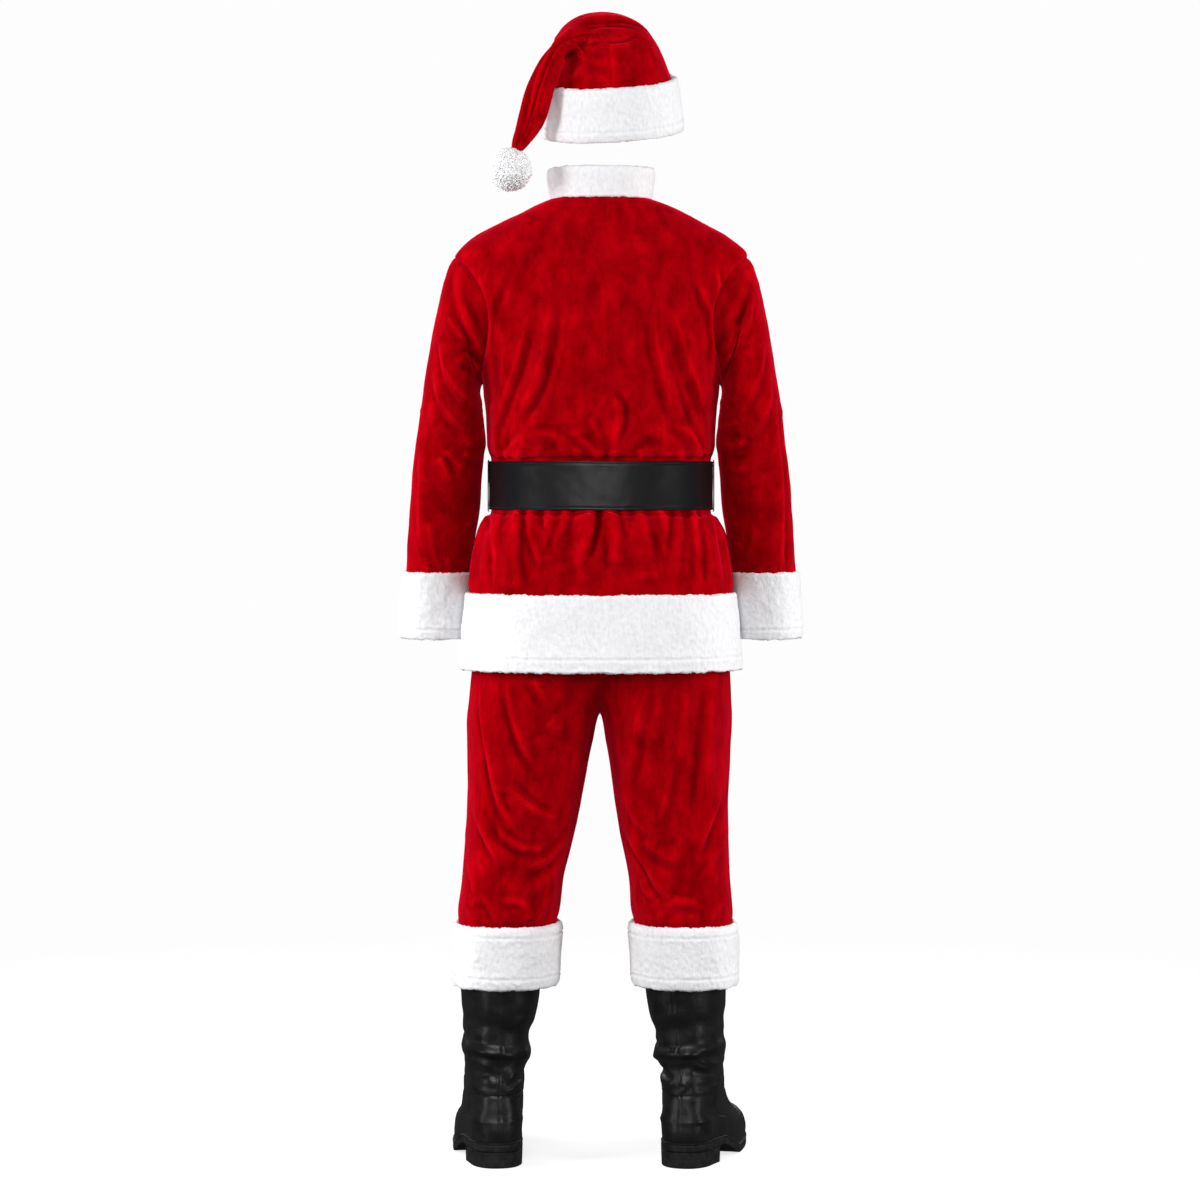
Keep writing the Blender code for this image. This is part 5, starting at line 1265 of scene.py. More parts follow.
cuff_turns = np.arange(0, 360, 360 / 176)
cuff_rows, cuff_stitch = (ROW_SLEEVE_CUFF, ROW_SLEEVE_END), ((0.0950, 0.0026),)
cuff = band(sleeve, *cuff_rows, cuff_turns, -0.0018, 0.0080, cuff_stitch, lap=0.004, press=pressed_together)
leg_turns = np.arange(0, 360, 360 / 244)
turn_up = band(leg_cuff, 0, 3, leg_turns, -0.0075, 0.0092, ((0.0175, 0.0020), (0.0845, 0.0024)), lap=0.003)
for side in ("left", "right"):
    grid = cuff if side == "left" else mirrored(cuff)
    piece = make_piece(f"sleeve_cuff_{side}_plush", grid, plush, around=True, along=True)
    stands_for(piece, "white_plush", f"sleeve_cuff_{side}")
    grid = turn_up if side == "left" else mirrored(turn_up, like_leg=True)
    piece = make_piece(f"leg_cuff_{side}_plush", grid, plush, around=True, along=True)
    stands_for(piece, "white_plush", f"leg_cuff_{side}")
ring_turns = np.arange(0, 360, 360 / 310)
grid = band(hat_band, 3, 0, ring_turns, -0.0070, 0.0088, ((0.0120, 0.0016), (0.0705, 0.0024)), lap=0.002)
stands_for(make_piece("hat_band_plush", grid, plush, around=True, along=True), "white_plush", "hat_band")

# %% [markdown]
# ### The hem, the closing edge and the collar
# These are strips with two ends. The hem's band runs from one edge of the front strip round the back to the
# other. The front strip hides the closing edge from neck to hem, and the belt presses it flat. The collar
# stands up on the neck seam, lower in front, and stops short of meeting so that the suit can be opened.

# %% Strips
COLLAR = (
    # rise above the neck seam, how far out from it
    (0.0007, 0.0035),
    (0.0180, 0.0060),
    (0.0380, 0.0085),
    (0.0480, 0.0075),
)
COLLAR_HALF_TURN, COLLAR_FRONT_SHARE, COLLAR_FRONT_FROM = 152, 0.65, 95
PRESSED_SHARE = 0.0019 / 0.0080


def collar(turn, v):
    """The stand collar's outside."""
    turn, v = matched(turn, v)
    rise, reach = row_of(COLLAR, v)
    seam = jacket(turn, np.full_like(v, ROW_NECK))
    grow = 1 + reach / np.hypot(seam[..., 0], seam[..., 1])
    lower = 1 - (1 - COLLAR_FRONT_SHARE) * ease((np.abs(away(turn, 0)) - COLLAR_FRONT_FROM) / 55)
    return np.stack((seam[..., 0] * grow, seam[..., 1] * grow, seam[..., 2] + rise * lower), -1)


def hem(turn, v):
    """The jacket's foot: turns -180 and 180 are the two edges of the front strip."""
    return jacket(turn * (1 - band_turn(v) / 180), v)


def closing_edge(turn, v):
    """The front strip, laid on its side: turn runs up it, 20 to a row of the jacket, and v across it."""
    return jacket(180 - band_turn(turn / 20) * v, turn / 20)


def belt_presses(points):
    """How thick the front strip is left, as a share."""
    return PRESSED_SHARE + (1 - PRESSED_SHARE) * belt_frees(points[..., 2])


hem_turns, hem_stitch = np.linspace(-180, 180, 461), ((0.1030, 0.0028),)
grid = band(hem, 2, 0, hem_turns, -0.0010, 0.0078, hem_stitch, 0.004, 0.004, pressed_together)
piece = make_piece("hem_band_plush", grid, plush, along=True, capped=True)
stands_for(piece, "white_plush", "hem_band")
up_turns = 20 * even_rows(jacket, 0, ROW_NECK, 0.0026, 180)
grid = band(closing_edge, -1, 1, up_turns, 0.0003, 0.0080, ends=0.004, press=belt_presses)
piece = make_piece("front_band_plush", grid, plush, along=True, capped=True)
stands_for(piece, "white_plush", "front_band")
collar_turns = np.linspace(-COLLAR_HALF_TURN, COLLAR_HALF_TURN, 184)
grid = band(collar, 0, 3, collar_turns, -0.0065, 0.0080, lap=0.0035, ends=0.004)
stands_for(make_piece("collar_plush", grid, plush, along=True, capped=True), "white_plush", "collar")

# %% [markdown]
# ### The pompom
# A pompom is a ball of yarn ends tied at its middle, so its tufts all point out and crowd each other. A
# ball with lumpy, spiky pile gives its body, and some 3,600 small tufts, each a bent cone, give its ragged
# outline.

# %% Pompom
ball = bmesh.new()
bmesh.ops.create_icosphere(ball, subdivisions=5, radius=1.0)
rays = np.array([v.co[:] for v in ball.verts])
swell = 0.955 + rumple(rays, (0.55, 0.05), (0.20, 0.05), (0.09, 0.04))
for vert, reach in zip(ball.verts, POMPOM_RADIUS * swell, strict=True):
    vert.co = Vector(POMPOM_MIDDLE) + vert.co * reach
for face in ball.faces:
    face.smooth = True
pompom_mesh = bpy.data.meshes.new("pompom_plush")
ball.to_mesh(pompom_mesh)
ball.free()

TUFTS, TUFT_SIDES = 3600, 3
way = unit(chance.normal(size=(TUFTS, 3)))
across = unit(np.cross(way, chance.normal(size=(TUFTS, 3))))
other = np.cross(way, across)
turns = np.arange(TUFT_SIDES) * 2 * np.pi / TUFT_SIDES
ring = across[:, None] * np.cos(turns)[:, None] + other[:, None] * np.sin(turns)[:, None]
root = way * POMPOM_RADIUS * 0.84
bent = way * POMPOM_RADIUS * chance.uniform(0.965, 1.01, (TUFTS, 1)) + chance.normal(0, 0.0005, (TUFTS, 3))
tip = bent + way * chance.uniform(0.0008, 0.0026, (TUFTS, 1)) + chance.normal(0, 0.0007, (TUFTS, 3))
tuft_rings = (root[:, None] + ring * 0.0020, bent[:, None] + ring * 0.0016, tip[:, None])
tuft_points = np.concatenate(tuft_rings, axis=1)
lap_order = [(k, (k + 1) % TUFT_SIDES) for k in range(TUFT_SIDES)]
tuft_faces = [(k, n, n + TUFT_SIDES, k + TUFT_SIDES) for k, n in lap_order]
tuft_faces += [(k + TUFT_SIDES, n + TUFT_SIDES, 2 * TUFT_SIDES) for k, n in lap_order]
tuft_faces += [tuple(range(TUFT_SIDES))[::-1]]
first = [(2 * TUFT_SIDES + 1) * number for number in range(TUFTS)]
tufts_mesh = bpy.data.meshes.new("pompom_tufts")
places = (tuft_points + np.array(POMPOM_MIDDLE)).reshape(-1, 3).tolist()
tufts_mesh.from_pydata(places, [], [[at + k for k in face] for at in first for face in tuft_faces])
tufts_mesh.shade_smooth()
for mesh, nodes in ((pompom_mesh, ("pompom",)), (tufts_mesh, ())):
    mesh.materials.append(yarn)
    stands_for(into_scene(mesh.name, mesh), "white_plush", *nodes)

# %% [markdown]
# ## The belt
# The wide black belt is two strips of vinyl glued back to back, with its edges folded in and a line
# stitched beside each fold. So its section is flat with soft round edges and a shallow channel for the
# stitches, and it is drawn tight, but never quite even. It closes in front, where the square buckle holds
# the strap and the free end runs on.

# %% Belt forms
BELT_OFF, BELT_THICK, PRESSED_BAND = 0.0004, 0.0035, 0.0022
BELT_MIDDLE, BELT_HALF = (BELT_LOW + BELT_HIGH) / 2, (BELT_HIGH - BELT_LOW) / 2
WAIST_HALF = JACKET[ROW_BELT][1]


def belt_face(turn, height, out=0.0):
    """A point so far out from the belt's outside, at a turn round the body."""
    turn, height = matched(turn, height)
    row = np.full_like(turn, ROW_BELT)
    way = unit(way_out(jacket, turn, row) * (1, 1, 0))
    lift = BELT_OFF + (PRESSED_BAND + BELT_OFF) * ease((np.abs(away(turn, 0)) - 135) / 25) + BELT_THICK
    point = jacket(turn, row) + way * np.broadcast_to(lift + out, turn.shape)[..., None]
    point[..., 2] = height
    return point


def turn_across(across):
    """The turn at which a point so far across from the centre front lies."""
    return 180 - np.degrees(np.arcsin(np.asarray(across) / WAIST_HALF))


def strap(turns, low, high, thick, channel, inner, uneven):
    """A strap's closed section, [round it][turn], with round edges and a stitch channel beside each."""
    edge = thick / 2
    bend = edge * (1 - np.cos(np.radians((0, 30, 60))))
    flat, groove = np.linspace(edge * 1.2, channel * 0.6, 3), channel + np.linspace(-0.0014, 0.0014, 5)
    face = np.concatenate((bend, flat, groove))
    up = np.concatenate((face, np.linspace(channel + 0.004, (high - low) / 2, 7)))
    up = np.concatenate((up, (high - low) - up[-2::-1]))
    near = np.minimum(up, high - low - up)
    front = edge * np.sqrt(1 - np.clip(1 - near / edge, 0, 1) ** 2)
    front -= 0.00055 * bell(near - channel, 0.0009) + 0.0003 * ease((near - channel) / 0.01)
    back = np.linspace(len(up) - 2, 1, 6).astype(int)
    out = inner + edge + np.concatenate((front, -front[back]))
    heights = low + np.concatenate((up, up[back]))
    grid = belt_face(turns, heights[:, None], out[:, None])
    wave = rumple(belt_face(turns, heights[:, None]) + 7, (0.12, 0.0012), (0.035, 0.0008), (0.014, 0.0003))
    wave = wave * uneven
    grid[..., 2] += rumple(belt_face(turns, np.full(len(heights), high)[:, None]), (0.11, 0.0014)) * uneven
    way = belt_face(turns, 0.0, 0.001) - belt_face(turns, 0.0)
    return grid + way * 1000 * wave[..., None]


def stitches(name, places, along, out, length, half, material):
    """A line of stitches as one piece: each is a small thread, high in its middle and sunk at both ends."""
    across = np.cross(out, along)
    shares = ((-0.5, 0, 0), (0, half, 0.2), (0, 0, 1.4), (0, -half, 0.2), (0.5, 0, 0))
    points = [places + along * length * a + across * b + out * half * c for a, b, c in shares]
    grid = np.stack(points, axis=1).reshape(-1, 3)
    faces = [(0, 1, 2), (0, 2, 3), (4, 2, 1), (4, 3, 2), (0, 3, 1), (4, 1, 3)]
    mesh = bpy.data.meshes.new(name)
    all_faces = [[5 * n + k for k in face[::-1]] for n in range(len(places)) for face in faces]
    mesh.from_pydata(grid.tolist(), [], all_faces)
    mesh.materials.append(material)
    return into_scene(name, mesh)


# %% Strap, free end and stitches
CHANNEL, STRAP_COLUMNS, BELT_STITCHES = 0.0042, 300, 246
STITCH_LENGTH, WELT_STITCH_LENGTH, STITCH_HALF, WELT_STITCH_GAP = 0.0031, 0.0034, 0.0004, 0.0046
strap_turns = np.arange(0, 360, 360 / STRAP_COLUMNS)
grid = strap(strap_turns, BELT_LOW, BELT_HIGH, BELT_THICK, CHANNEL, -BELT_THICK, 1.0)
stands_for(make_piece("belt_strap_vinyl", grid, vinyl, around=True, along=True), "black_vinyl", "belt_strap")

TIP_FROM, TIP_TO, TIP_COLUMNS, TIP_NARROWER, TIP_WALL = 0.0425, 0.142, 60, 0.0015, 0.0024
tip_turns = turn_across(np.linspace(TIP_FROM, TIP_TO, TIP_COLUMNS))
grid = strap(tip_turns, BELT_LOW + TIP_NARROWER, BELT_HIGH - TIP_NARROWER, TIP_WALL, CHANNEL, 0.0004, 0.5)
near_end = np.clip((np.linspace(0, 1, TIP_COLUMNS) - 0.80) / 0.2, 0, 1)
round_off = np.sqrt(np.clip(1 - near_end**2, 0.03, 1))
grid[..., 2] = BELT_MIDDLE + (grid[..., 2] - BELT_MIDDLE) * round_off
stands_for(make_piece("belt_free_end", grid, vinyl, along=True, capped=True), "black_vinyl")

stitch_turns = np.arange(0, 360, 360 / BELT_STITCHES)
for line, height in (("low", BELT_LOW + CHANNEL), ("high", BELT_HIGH - CHANNEL)):
    places = belt_face(stitch_turns, height, -0.0006)
    along = unit(belt_face(stitch_turns + 0.5, height) - belt_face(stitch_turns - 0.5, height))
    out = np.cross(along, (0, 0, 1.0))
    out *= np.sign((out * places).sum(axis=1, keepdims=True))
    piece = stitches(f"belt_stitches_{line}", places, along, out, STITCH_LENGTH, STITCH_HALF, thread)
    stands_for(piece, "black_vinyl")

# %% [markdown]
# ### Keepers
# A narrow vinyl loop at each side seam holds the belt on the jacket. It runs up the belt's face and turns
# in over both edges, so from behind only its edge shows, as a thin bright line.

# %% Keepers
LOOP_WIDTH, LOOP_WALL, LOOP_REACH = 0.014, 0.0016, 0.003
corner = np.radians(np.linspace(0, 90, 6))
turn_in = np.stack((-0.0022 * (1 - np.sin(corner)), LOOP_REACH * np.cos(corner)), -1)
path = np.concatenate((
    [(-0.0062, BELT_HALF + LOOP_REACH * 0.7)],
    turn_in * (1, 1) + (0, BELT_HALF - 0.0002),
    [(0, up) for up in np.linspace(BELT_HALF - 0.004, -BELT_HALF + 0.004, 24)],
    turn_in[::-1] * (1, -1) - (0, BELT_HALF - 0.0002),
    [(-0.0062, -BELT_HALF - LOOP_REACH * 0.7)],
))
across_loop = np.linspace(-1, 1, 17)
bulge = LOOP_WALL * np.sqrt(1 - np.abs(across_loop) ** 6)
bulge = bulge - 0.0004 * bell(np.abs(across_loop) - 0.72, 0.09)
section_across = np.concatenate((across_loop, across_loop[-2:0:-2]))
section_out = np.concatenate((bulge, np.zeros(8)))
for side, middle in (("left", 90), ("right", -90)):
    turns = middle + section_across * math.degrees(LOOP_WIDTH / 2 / WAIST_HALF)
    grid = belt_face(turns, BELT_MIDDLE + path[:, 1:], 0.0004 + path[:, :1] + section_out)
    grid = np.swapaxes(grid, 0, 1)
    piece = make_piece(f"belt_keeper_{side}", grid, vinyl, along=True, capped=True)
    stands_for(piece, "black_vinyl", f"belt_loop_{side}")

# %% [markdown]
# ### The buckle
# The buckle is a square frame cast in one piece and rubbed bright, curved to the belt, with a tongue hinged
# on one upright and resting on the other. Its bar is swept as a rounded section round a rounded square; the
# tongue is a second rounded bar whose foot curls round the upright. On this suit it stays closed.

# %% Buckle and tongue
BUCKLE_WIDTH, BUCKLE_HEIGHT, BUCKLE_BAR, BUCKLE_THICK = 0.108, 0.094, 0.012, 0.005
# The frame stands off by a strap's thickness, because the free end runs out under its bar.
BUCKLE_CORNER, BUCKLE_CLEAR = 0.014, 0.0031


def rounded_square(width, height, corner):
    """Points round a rectangle with round corners, as (across, up) from its middle."""
    points = []
    for quarter, (cx, cz) in enumerate(((1, 1), (-1, 1), (-1, -1), (1, -1))):
        for angle in np.radians(90 * quarter + np.linspace(0, 90, 9)):
            x = cx * (width / 2 - corner) + corner * math.cos(angle)
            points.append((x, cz * (height / 2 - corner) + corner * math.sin(angle)))
        side = (height if quarter % 2 else width) - 2 * corner
        ahead = {0: (-1, 0), 1: (0, -1), 2: (1, 0), 3: (0, 1)}[quarter]
        x, z = points[-1]
        points += [(x + ahead[0] * side * k / 14, z + ahead[1] * side * k / 14) for k in range(1, 14)]
    return np.array(points)


outer = rounded_square(BUCKLE_WIDTH, BUCKLE_HEIGHT, BUCKLE_CORNER)
hole = rounded_square(BUCKLE_WIDTH - 2 * BUCKLE_BAR, BUCKLE_HEIGHT - 2 * BUCKLE_BAR, BUCKLE_CORNER / 2.5)
loops = []
for angle in np.radians(np.arange(0, 360, 18)):
    share = 0.5 - 0.5 * np.sign(np.cos(angle)) * abs(math.cos(angle)) ** 0.7
    rise = 0.5 + 0.5 * np.sign(np.sin(angle)) * abs(math.sin(angle)) ** 0.7
    points = outer + (hole - outer) * share
    lifted = BUCKLE_CLEAR + rise * BUCKLE_THICK
    loops.append(belt_face(turn_across(points[:, 0]), BELT_MIDDLE + points[:, 1], lifted))
piece = make_piece("buckle_frame", np.stack(loops), gold, around=True, along=True)
stands_for(piece, "gold_metal", "belt_buckle")

reach = BUCKLE_WIDTH / 2 - BUCKLE_BAR
over = BUCKLE_CLEAR + BUCKLE_THICK + 0.0002
tongue = (
    # across, how far out, half width, half thickness
    (reach + 0.0125, BUCKLE_CLEAR + 0.0004, 0.0050, 0.0005),
    (reach + 0.0138, BUCKLE_CLEAR + 0.0022, 0.0052, 0.0009),
    (reach + 0.0128, over + 0.0002, 0.0054, 0.0012), (reach + 0.0085, over + 0.0013, 0.0055, 0.0013),
    (reach + 0.0030, over + 0.0010, 0.0053, 0.0013), (reach - 0.0030, over - 0.0012, 0.0048, 0.0014),
    (reach - 0.0120, over - 0.0026, 0.0044, 0.0015), (0.0100, over - 0.0032, 0.0042, 0.0015),
    (-0.0100, over - 0.0028, 0.0041, 0.0015), (-reach + 0.0100, over - 0.0010, 0.0039, 0.0014),
    (-reach, over + 0.0012, 0.0036, 0.0013), (-reach - 0.0060, over + 0.0016, 0.0030, 0.0012),
    (-reach - 0.0088, over + 0.0014, 0.0016, 0.0008), (-reach - 0.0094, over + 0.0012, 0.0003, 0.0002),
)
across, out, half, thin = row_of(tongue, np.linspace(0, len(tongue) - 1, 90))
s, c = oval(np.arange(0, 360, 20)[:, None], 2.4)
grid = belt_face(turn_across(across), BELT_MIDDLE + half * s, out + thin * c)
stands_for(make_piece("buckle_tongue", grid, gold, along=True, capped=True), "gold_metal", "buckle_prong")
print("belt drawn in at", round(BELT_MIDDLE, 4), "m, with", 2 * len(stitch_turns), "stitches")

# %% [markdown]
# ## The boots
# Each boot is a soft leather shaft that slouches above the ankle, a foot with seams at the counter and the
# toe cap, a welted sole and a stacked heel. A boot is described in its own frame, from the heel's back to
# the toe and up from the floor, and then stood under its leg, turned out at the toe. So both boots share
# one set of sections, and only their folds differ, as the shafts sag each in its own way.

# %% Boot forms
BOOT_SHAFT = (
    # height, middle from the heel's back, half width, half length, outward
    (0.352, 0.0720, 0.0650, 0.0745, -0.011),
    (0.285, 0.0720, 0.0645, 0.0740, -0.010),
    (0.235, 0.0735, 0.0590, 0.0700, -0.007),
    (0.206, 0.0760, 0.0535, 0.0665, -0.004),
    (0.182, 0.0790, 0.0555, 0.0690, -0.004),
    (0.158, 0.0800, 0.0480, 0.0660, -0.001),
    (0.137, 0.0810, 0.0495, 0.0700, -0.001),
    (0.118, 0.0820, 0.0480, 0.0710, 0.000),
)
BOOT_FOOT = (
    # height, back, front, half width at the heel, half width at the ball
    (0.1177, 0.0120, 0.1530, 0.0470, 0.0475),
    (0.0980, 0.0090, 0.1720, 0.0460, 0.0485),
    (0.0800, 0.0070, 0.2080, 0.0440, 0.0490),
    (0.0640, 0.0055, 0.2580, 0.0425, 0.0500),
    (0.0480, 0.0050, 0.2900, 0.0415, 0.0530),
    (0.0300, 0.0045, 0.3010, 0.0405, 0.0545),
    (0.0156, 0.0060, 0.3000, 0.0395, 0.0535),
)
SOLE_FRONT, SOLE_THICK, SOLE_LEDGE = 0.015, 0.0148, 0.0035
HEEL_LIFT, HEEL_START, HEEL_LENGTH, HEEL_TAPER = 0.026, 0.0040, 0.0780, 0.001
SOLE_FLAT_TO, SOLE_DOWN_BY = 0.095, 0.170
BOOT_FLOOR, HEEL_MIDDLE = -1.571, 0.0430
BOOTS = (
    # side, mirrored, where the heel's middle stands across and back, how far the toe turns out, folds
    ("left", False, (0.1695, 0.0415), 9.6, BOOT_FOLDS_LEFT),
    ("right", True, (-0.1388, 0.0434), 18.5, BOOT_FOLDS_RIGHT),
)


def boot_shaft(turn, v):
    """The shaft: turn 0 is the back and 90 the outer side."""
    turn, v = matched(turn, v)
    height, middle, half, length, outward = row_of(BOOT_SHAFT, v)
    s, c = oval(turn, 2.1)
    return np.stack((outward + half * s, middle - length * c, height), -1)


def sole_top(y):
    """The height of the sole's upper side, from the heel's back to the toe."""
    return SOLE_FRONT + HEEL_LIFT * ease((SOLE_DOWN_BY - y) / (SOLE_DOWN_BY - SOLE_FLAT_TO))


def boot_foot(turn, v):
    """The foot: turn 0 is the heel's back and 180 the toe. It is oval at the ankle, and low down its outline
    has a round heel, nearly straight sides and a round toe."""
    turn, v = matched(turn, v)
    height, back, front, heel, ball = row_of(BOOT_FOOT, v)
    s, c = oval(turn, 2.25)
    share = np.abs(away(turn, 0)) / 180
    at_heel = np.radians(90 * np.clip(share / 0.24, 0, 1))
    at_toe = np.radians(90 * np.clip((share - 0.42) / 0.58, 0, 1))
    at_side = np.clip((share - 0.24) / 0.18, 0, 1)
    tread = 0.150 * (1 - np.cos(at_heel)) + 0.27 * at_side + 0.58 * np.sin(at_toe)
    tread_side = np.sign(s) * np.minimum(np.sin(at_heel), np.cos(at_toe)) ** 0.86
    low = ease((v - 0.2) / 3)
    along = (1 - low) * (1 - c) / 2 + low * tread
    x = (heel + (ball - heel) * ease(along / 0.62)) * ((1 - low) * s + low * tread_side)
    y = back + (front - back) * along
    return np.stack((x, y, height + ease((v - 1.5) / 3.5) * (sole_top(y) - SOLE_FRONT)), -1)


def stood(grid, mirror, stand, toe_out):
    """From the boot's frame to the suit's."""
    angle = math.radians(toe_out)
    x, y, z = np.moveaxis(grid, -1, 0)
    y = y - HEEL_MIDDLE
    outward = (x * math.cos(angle) + y * math.sin(angle)) * (-1 if mirror else 1)
    forward = y * math.cos(angle) - x * math.sin(angle)
    made = np.stack((stand[0] + outward, stand[1] - forward, BOOT_FLOOR + z), -1)
    return made[:, ::-1] if mirror else made


def ways(grid):
    """The directions out of a closed grid of rings that run down."""
    down = np.gradient(grid, axis=0)
    across = np.roll(grid, -1, axis=1) - np.roll(grid, 1, axis=1)
    out = np.cross(down, across)
    out /= np.maximum(np.linalg.norm(out, axis=-1, keepdims=True), 1e-9)
    middle = grid.mean(axis=1, keepdims=True)
    return out * np.sign(((grid - middle) * out)[..., :2].sum(axis=-1).mean())


# %% [markdown]
# ### Seams and creases
# A seam in leather is a valley with a rounded lip on both sides. Each seam here is a line drawn on the
# boot's own form, and every point of the leather sinks by how near it lies to that line.

# %% Seam lines
def boot_line(form, marks, count=90):
    """A line on a boot's form through (turn, row) marks."""
    turn, row = row_of(marks, np.linspace(0, len(marks) - 1, count))
    return form(turn, row)


COUNTER = boot_line(boot_foot, ((70, 0.3), (64, 1.2), (66, 2.6), (76, 4.2), (80, 6)))
COUNTER_INSIDE = COUNTER * (-1, 1, 1)
VAMP = boot_line(boot_foot, ((96, 0.2), (104, 1.3), (112, 2.4), (116, 3.6), (118, 6)))
VAMP_INSIDE = VAMP * (-1, 1, 1)
TOE_CAP_MARKS = ((130, 6), (139, 4.6), (154, 3.6), (180, 3.1), (206, 3.6), (221, 4.6), (230, 6))
TOE_CAP = boot_line(boot_foot, TOE_CAP_MARKS)
HEEL_SEAM = boot_line(boot_foot, ((0, 0), (0, 3), (0, 6)))
SHAFT_SEAM = boot_line(boot_shaft, ((0, 0), (0, 3.5), (0, 7)), 160)
SHAFT_FRONT = boot_line(boot_shaft, ((180, 0), (180, 3.5), (180, 7)), 160)
SAGS = (
    # the sags all round the shaft: height, half height, lift, turn of the deepest side
    (0.226, 0.0130, -0.0045, 0), (0.184, 0.0100, 0.0052, 0), (0.205, 0.0045, -0.0018, 100),
    (0.168, 0.0050, -0.0024, 20), (0.156, 0.0055, 0.0014, -120), (0.143, 0.0035, -0.0013, 150),
)


def seam(points, line, depth, width=0.0013):
    """The rise and fall beside a stitched seam."""
    gap = distance_to(points, line)
    return depth * (0.6 * bell(gap - 2.6 * width, 1.5 * width) - bell(gap, width))


# %% Uppers
LEATHER_GAP, SHAFT_COLUMNS, FOOT_COLUMNS, BENDS_AT = 0.0027, 150, 210, 0.205
shaft_rows = even_rows(boot_shaft, 0, len(BOOT_SHAFT) - 1, LEATHER_GAP, 0, 90, 180)
foot_rows = even_rows(boot_foot, 0, len(BOOT_FOOT) - 1, LEATHER_GAP, 0, 90)
shaft_turns = np.arange(0, 360, 360 / SHAFT_COLUMNS)
foot_turns = np.arange(0, 360, 360 / FOOT_COLUMNS)
for side, mirror, stand, toe_out, folds in BOOTS:
    turns, rows = np.broadcast_arrays(shaft_turns, shaft_rows[:, None])
    shaft = boot_shaft(turns, rows)
    height = shaft[..., 2]
    lift = rumple(shaft + (0.3 if mirror else 0), (0.05, 0.0016), (0.018, 0.0007))
    for place, half, rise, deepest in SAGS:
        tilt = 0.010 * np.sin(np.radians(turns * 1.0 + 3 * deepest))
        share = 0.55 + 0.45 * np.cos(np.radians(turns - deepest * (-1 if mirror else 1)))
        lift += rise * share * bell(height - place - tilt, half)
    lift += seam(shaft, SHAFT_SEAM, 0.0011) + seam(shaft, SHAFT_FRONT, 0.0008)
    placed = stood(shaft, mirror, stand, toe_out)
    out = ways(placed)
    lift = lift[:, ::-1] if mirror else lift
    lift += press_folds(placed, out, folds, 1, 1, gain=0.5) + press_folds(placed, out, folds, -1, 1, gain=0.4)
    calm = ease((placed[..., 2] - BOOT_FLOOR - 0.118) / 0.012)
    placed = placed + out * (lift * calm + 0.0004 * (1 - calm))[..., None]
    piece = make_piece(f"boot_shaft_{side}_leather", placed, leather, around=True)
    stands_for(piece, "black_leather", f"boot_shaft_{side}")

    turns, rows = np.broadcast_arrays(foot_turns, foot_rows[:, None])
    foot = boot_foot(turns, rows)
    lift = rumple(foot + (0.5 if mirror else 0), (0.045, 0.0012), (0.014, 0.0004))
    bend = bell(foot[..., 1] - BENDS_AT, 0.03) * ease((foot[..., 2] - 0.035) / 0.02)
    lift += 0.0007 * bend * np.sin(foot[..., 1] / 0.0022 + 3 * np.sin(foot[..., 0] / 0.02))
    lift *= ease((foot[..., 2] - sole_top(foot[..., 1])) / 0.012)
    for line in (COUNTER, COUNTER_INSIDE, VAMP, VAMP_INSIDE, TOE_CAP, HEEL_SEAM):
        lift += seam(foot, line, 0.0009)
    lift -= 0.0016 * bell(rows, 0.16)
    placed = stood(foot, mirror, stand, toe_out)
    out = ways(placed)
    lift = lift[:, ::-1] if mirror else lift
    placed = placed + out * lift[..., None]
    piece = make_piece(f"boot_foot_{side}_leather", placed, leather, around=True)
    stands_for(piece, "black_leather", f"boot_foot_{side}")

# %% [markdown]
# ### Soles and heels
# The sole stands out a little all round the foot, as a welt with stitches on it, and its edge is rounded.
# The heel is a stack of leather lifts under it, glued and trimmed together, so its wall shows fine lines
# between the lifts.

# %% Soles, welt stitches and heels
def slab(outline, heights, grow):
    """Rings from the top down to the bottom of a slab with this outline, each grown by so much, then its two
    faces as rings drawn in to the middle, so that every face is small."""
    middle = outline.mean(axis=0)
    way = unit((outline - middle) * (1, 1, 0))
    rings = [outline + way * g - (0, 0, h) for h, g in zip(heights, grow, strict=True)]
    inward = [0.9, 0.6, 0.3, 0.02]
    top = [rings[0] + (middle - rings[0]) * (1, 1, 0) * (1 - share) for share in inward[::-1]]
    bottom = [rings[-1] + (middle - rings[-1]) * (1, 1, 0) * (1 - share) for share in inward]
    return np.stack(top + rings + bottom)


